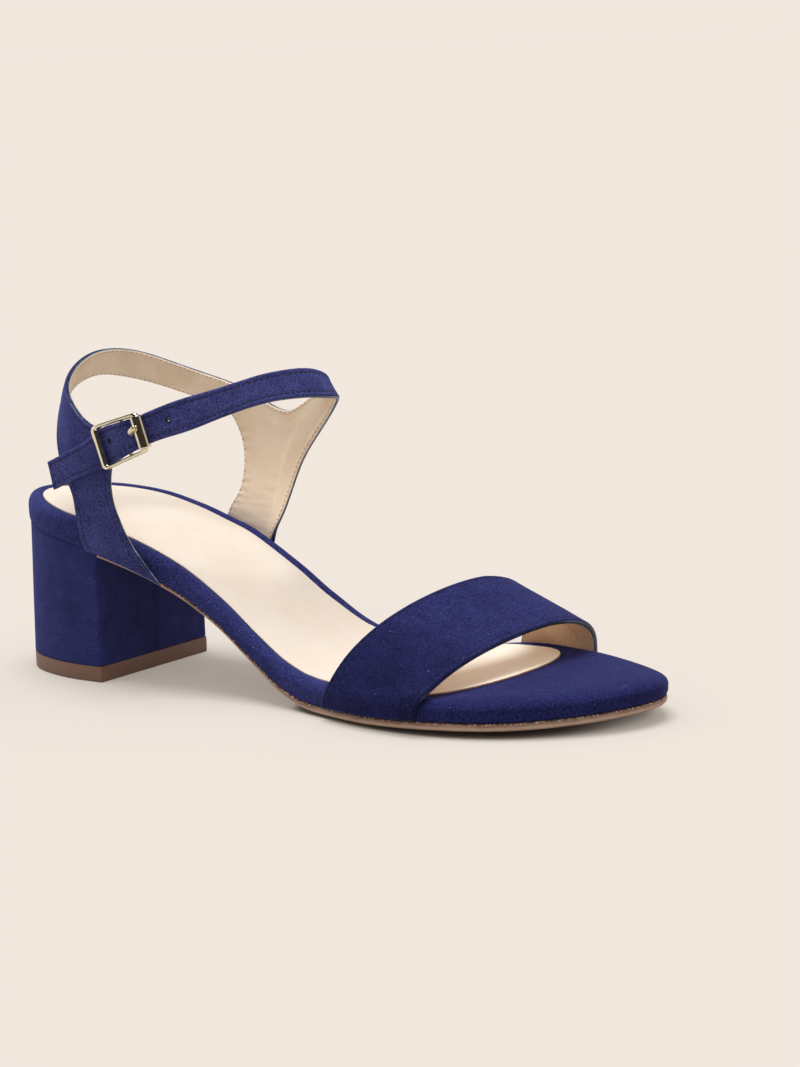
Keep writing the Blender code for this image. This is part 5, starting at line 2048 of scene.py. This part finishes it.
def rounded_box(shape):
    """Points round a box with rounded corners whose front and back differ in height."""
    (rear, rear_half, rear_round), (fore, fore_half, fore_round) = shape
    corners = (
        (fore - fore_round, fore_half - fore_round, fore_round, 0),
        (rear + rear_round, rear_half - rear_round, rear_round, 90),
        (rear + rear_round, -rear_half + rear_round, rear_round, 180),
        (fore - fore_round, -fore_half + fore_round, fore_round, 270),
    )
    arcs = []
    for along_it, up_it, radius, start in corners:
        angle = np.radians(start + 90 * np.arange(CORNER_STEPS + 1) / CORNER_STEPS)
        arcs.append(np.column_stack((along_it + radius * np.cos(angle), up_it + radius * np.sin(angle))))
    spots = []
    for arc, after in zip(arcs, arcs[1:] + arcs[:1]):
        share = np.arange(1, SIDE_STEPS)[:, None] / SIDE_STEPS
        spots.append(np.vstack((arc, arc[-1] * (1 - share) + after[0] * share)))
    return np.vstack(spots)


def tube(path, radii, flat_to, sides=20):
    """Points and faces of a round bar along a path in the buckle's axes, with rounded ends."""
    path = np.asarray(path, float)
    run = np.gradient(path, axis=0)
    run /= np.linalg.norm(run, axis=1)[:, None]
    rings = []
    angle = WHOLE_TURN * np.arange(sides) / sides
    ends = ((0, -1, ROUND_END), (len(path) - 1, 1, ROUND_END[::-1]))
    stations = [(path[i], run[i], radii[i]) for i in range(len(path))]
    for at, way, shares in ends:
        caps = []
        for share in shares:
            out = math.sqrt(1 - share**2) * radii[at] * way
            caps.append((path[at] + run[at] * out, run[at], radii[at] * share))
        stations = caps + stations if way < 0 else stations + caps
    for spot_at, towards_end, radius in stations:
        across_it = np.cross(towards_end, flat_to)
        circle = np.cos(angle)[:, None] * across_it + np.sin(angle)[:, None] * np.asarray(flat_to)
        rings.append(buckle_points(spot_at + radius * circle))
    return np.vstack(rings), ring_faces(len(rings), sides)


print("along the strap", buckle_along.round(2), "and up the bar", buckle_up.round(2))

# %% [markdown]
# The buckle is a bar bent to a box, a little narrower in front. Its section is crowned so that it
# catches a line of light, and at the rear the crest stands nearer the opening. A thin bar across its
# middle, set back behind the strap, holds the tab and the prong.

# %% Buckle frame and bar
FRAME_OUT = 32.8
BAR_OUT = 30.05
# along, half height, corner radius, of the outside and of the opening
FRAME_OUTSIDE = ((-10.9, 7.2, 2.2), (9.7, 6.45, 2.0))
FRAME_OPENING = ((-7.9, 6.0, 0.9), (7.7, 5.25, 0.8))
# share of the bar's width from the outside, height above the bar's middle
FRAME_SECTION = (
    (0.0, 0.0),
    (0.05, 0.45),
    (0.18, 0.76),
    (0.36, 0.95),
    (0.5, 1.0),
    (0.64, 0.95),
    (0.82, 0.76),
    (0.95, 0.45),
    (1.0, 0.0),
    (0.92, -0.6),
    (0.75, -0.85),
    (0.25, -0.85),
    (0.08, -0.6),
)
# how far the crest of the rear side moves towards the opening
REAR_CREST = 0.48
REAR_CREST_SPAN = (7.0, 10.0)
FRAME_STEPS = 32
BAR_RADIUS = 0.7
BAR_END_RADIUS = 0.45
BAR_END_IN = 0.3
BAR_HALF = 6.25
BAR_BEND = 0.9
BAR_BEND_STEPS = 6
frame_far = along_line(FRAME_SECTION + FRAME_SECTION[:1])
frame_spots = np.linspace(0, frame_far[-1], FRAME_STEPS + 1)[:-1]
around = Spline(frame_far, FRAME_SECTION + FRAME_SECTION[:1])(frame_spots)
frame_rings = []
for out_spot, in_spot in zip(rounded_box(FRAME_OUTSIDE), rounded_box(FRAME_OPENING)):
    crest_in = 1 - REAR_CREST * smoothstep(-out_spot[0], *REAR_CREST_SPAN)
    across_bar = out_spot + (in_spot - out_spot) * np.clip(around[:, :1], 0, 1) ** crest_in
    ring = np.column_stack((across_bar[:, 0], FRAME_OUT + around[:, 1], across_bar[:, 1]))
    frame_rings.append(buckle_points(ring))
frame_faces = []
for i in range(len(frame_rings)):
    here = i * FRAME_STEPS
    there = (i + 1) % len(frame_rings) * FRAME_STEPS
    for k in range(FRAME_STEPS):
        after = (k + 1) % FRAME_STEPS
        frame_faces.append((here + k, here + after, there + after, there + k))
half_bar = [(0, FRAME_OUT - BAR_END_IN, -BAR_HALF)]
for bent in math.pi / 2 * np.arange(BAR_BEND_STEPS + 1) / BAR_BEND_STEPS:
    out = BAR_OUT + BAR_BEND * (1 - math.sin(bent))
    half_bar.append((0, out, -BAR_HALF + BAR_BEND * (1 - math.cos(bent))))
bar_path = np.array(half_bar + [(x, out, -up_it) for x, out, up_it in reversed(half_bar)])
bar_radii = np.where(np.abs(bar_path[:, 2]) > BAR_HALF - BAR_END_IN, BAR_END_RADIUS, BAR_RADIUS)
bar_points, bar_faces = tube(bar_path, bar_radii, (1.0, 0.0, 0.0))
piece("buckle_ring", np.vstack(frame_rings), frame_faces, metal, "buckle_metal", "buckle_frame")
piece("buckle_bar", bar_points, bar_faces, metal, "buckle_metal", "buckle_frame")

# %% [markdown]
# A roller on the frame's front lets the strap slide. Its two ends are rounded off a little.

# %% Roller
# up the bar, share of the roller's radius
ROLLER = (
    (-5.1, 0.6),
    (-5.1, 0.9),
    (-5.0, 0.97),
    (-4.85, 1.0),
    (-4.7, 1.0),
    (4.7, 1.0),
    (4.85, 1.0),
    (5.0, 0.97),
    (5.1, 0.9),
    (5.1, 0.6),
)
ROLLER_AT = 8.9
ROLLER_OUT = FRAME_OUT + 0.45
ROLLER_RADIUS = 2.0
ROLLER_SIDES = 32
angle = WHOLE_TURN * np.arange(ROLLER_SIDES) / ROLLER_SIDES
circle = ROLLER_RADIUS * np.column_stack((np.cos(angle), np.sin(angle)))
roller_rings = []
for up_bar, share in ROLLER:
    ring = (ROLLER_AT, ROLLER_OUT) + circle * share
    roller_rings.append(buckle_points(np.column_stack((ring, np.full(ROLLER_SIDES, up_bar)))))
roller_faces = ring_faces(len(ROLLER), ROLLER_SIDES)
piece("roller", np.vstack(roller_rings), roller_faces, metal, "buckle_metal", "buckle_frame")

# %% [markdown]
# The prong is a bent wire that curls round the bar, comes up through the strap and rests on the roller.
# It thickens towards its tip.

# %% Prong
CURL_RADIUS = 1.5
CURL_START = 30
CURL_END = 270
CURL_STEPS = 25
PRONG_STEPS = 70
# share of the prong's length, radius
PRONG_THICK = ((0.0, 0.48), (0.45, 0.5), (0.7, 0.72), (0.85, 0.88), (1.0, 0.8))
# along, out, up
PRONG_RUN = (
    (1.3, 28.62, 0.0),
    (2.6, 29.0, 0.0),
    (3.6, 29.9, 0.1),
    (4.8, 31.1, 0.2),
    (5.55, 32.4, 0.35),
    (6.0, 33.7, 0.5),
    (6.5, 34.95, 0.75),
    (7.5, 35.85, 1.1),
    (9.2, 36.15, 1.55),
)
curl = np.radians(np.linspace(CURL_START, CURL_END, CURL_STEPS))
curl_out = BAR_OUT + CURL_RADIUS * np.sin(curl)
curl_path = np.column_stack((CURL_RADIUS * np.cos(curl), curl_out, np.zeros(CURL_STEPS)))
prong_line = np.vstack((curl_path, PRONG_RUN))
prong_far = along_line(prong_line)
prong_path = Spline(prong_far, prong_line)(np.linspace(0, prong_far[-1], PRONG_STEPS))
prong_radii = np.interp(np.linspace(0, 1, PRONG_STEPS), *zip(*PRONG_THICK))
prong_points, prong_faces = tube(prong_path, prong_radii, (0.0, 0.0, 1.0))
piece("prong", prong_points, prong_faces, prong_metal, "buckle_metal", "buckle_prong")

# %% [markdown]
# The tab that holds the buckle is a strip of suede folded round the bar, with a slot for the prong. It
# is hidden behind the strap, so a plain folded strip with rolled edges is enough.

# %% Buckle tab
TAB_THICK = 0.8
TAB_HALF = 4.2
TAB_ROUND = BAR_RADIUS + GAP + TAB_THICK / 2
SLOT_HALF = 1.0
SLOT_FROM = -3.0
SLOT_TO = 4.0
# the first rows of the tab lie behind the bar and have no slot
SLOT_FIRST_ROW = 15
FOLD_FROM = -75
FOLD_TURN = 195
FOLD_STEPS = 16
TAB_ROWS = 90
SIDE_COLUMNS = 10
SLOT_COLUMNS = 6
# along, out: the run under the strap and the end over the bar
TAB_RUN = ((-12.0, 26.6), (-9.0, 26.6), (-6.0, 26.6), (-3.4, 26.6), (-2.0, 27.1), (-1.0, 28.05))
TAB_END = (-1.7, 30.85)
fold = np.radians(FOLD_FROM + FOLD_TURN * np.arange(FOLD_STEPS + 1) / FOLD_STEPS)
folded = np.column_stack((TAB_ROUND * np.cos(fold), BAR_OUT + TAB_ROUND * np.sin(fold)))
tab_line = np.vstack((TAB_RUN, folded, TAB_END))
tab_far = along_line(tab_line)
tab_path = Spline(tab_far, tab_line)(np.linspace(0, tab_far[-1], TAB_ROWS))
tab_run = np.gradient(tab_path, axis=0)
tab_run /= np.linalg.norm(tab_run, axis=1)[:, None]
tab_side = np.column_stack((-tab_run[:, 1], tab_run[:, 0]))
tab_up = np.concatenate((
    np.linspace(-TAB_HALF, -SLOT_HALF, SIDE_COLUMNS),
    np.linspace(-SLOT_HALF, SLOT_HALF, SLOT_COLUMNS)[1:-1],
    np.linspace(SLOT_HALF, TAB_HALF, SIDE_COLUMNS),
))
tab_base = np.array([(p[0], p[1], u) for p in tab_path for u in tab_up])
tab_normal = np.array([(n[0], n[1], 0.0) for n in tab_side for _ in tab_up])
tab_faces = []
for face in grid_faces(len(tab_path), len(tab_up)):
    i, j = divmod(face[0], len(tab_up))
    across_slot = abs(tab_up[j] + tab_up[j + 1]) / 2 < SLOT_HALF
    along_slot = i > SLOT_FIRST_ROW and SLOT_FROM < tab_path[i, 0] < SLOT_TO
    if not (across_slot and along_slot):
        tab_faces.append(face)
points, made_faces, on_rim = layer(tab_base, tab_normal, tab_faces, TAB_THICK / 2, -TAB_THICK / 2)
used, made_faces = used_alone(len(points), made_faces)
tab_points = buckle_points(points[used])
piece("tab_suede", tab_points, made_faces, upper_suede, "suede", "buckle_tab", cut=on_rim[used])
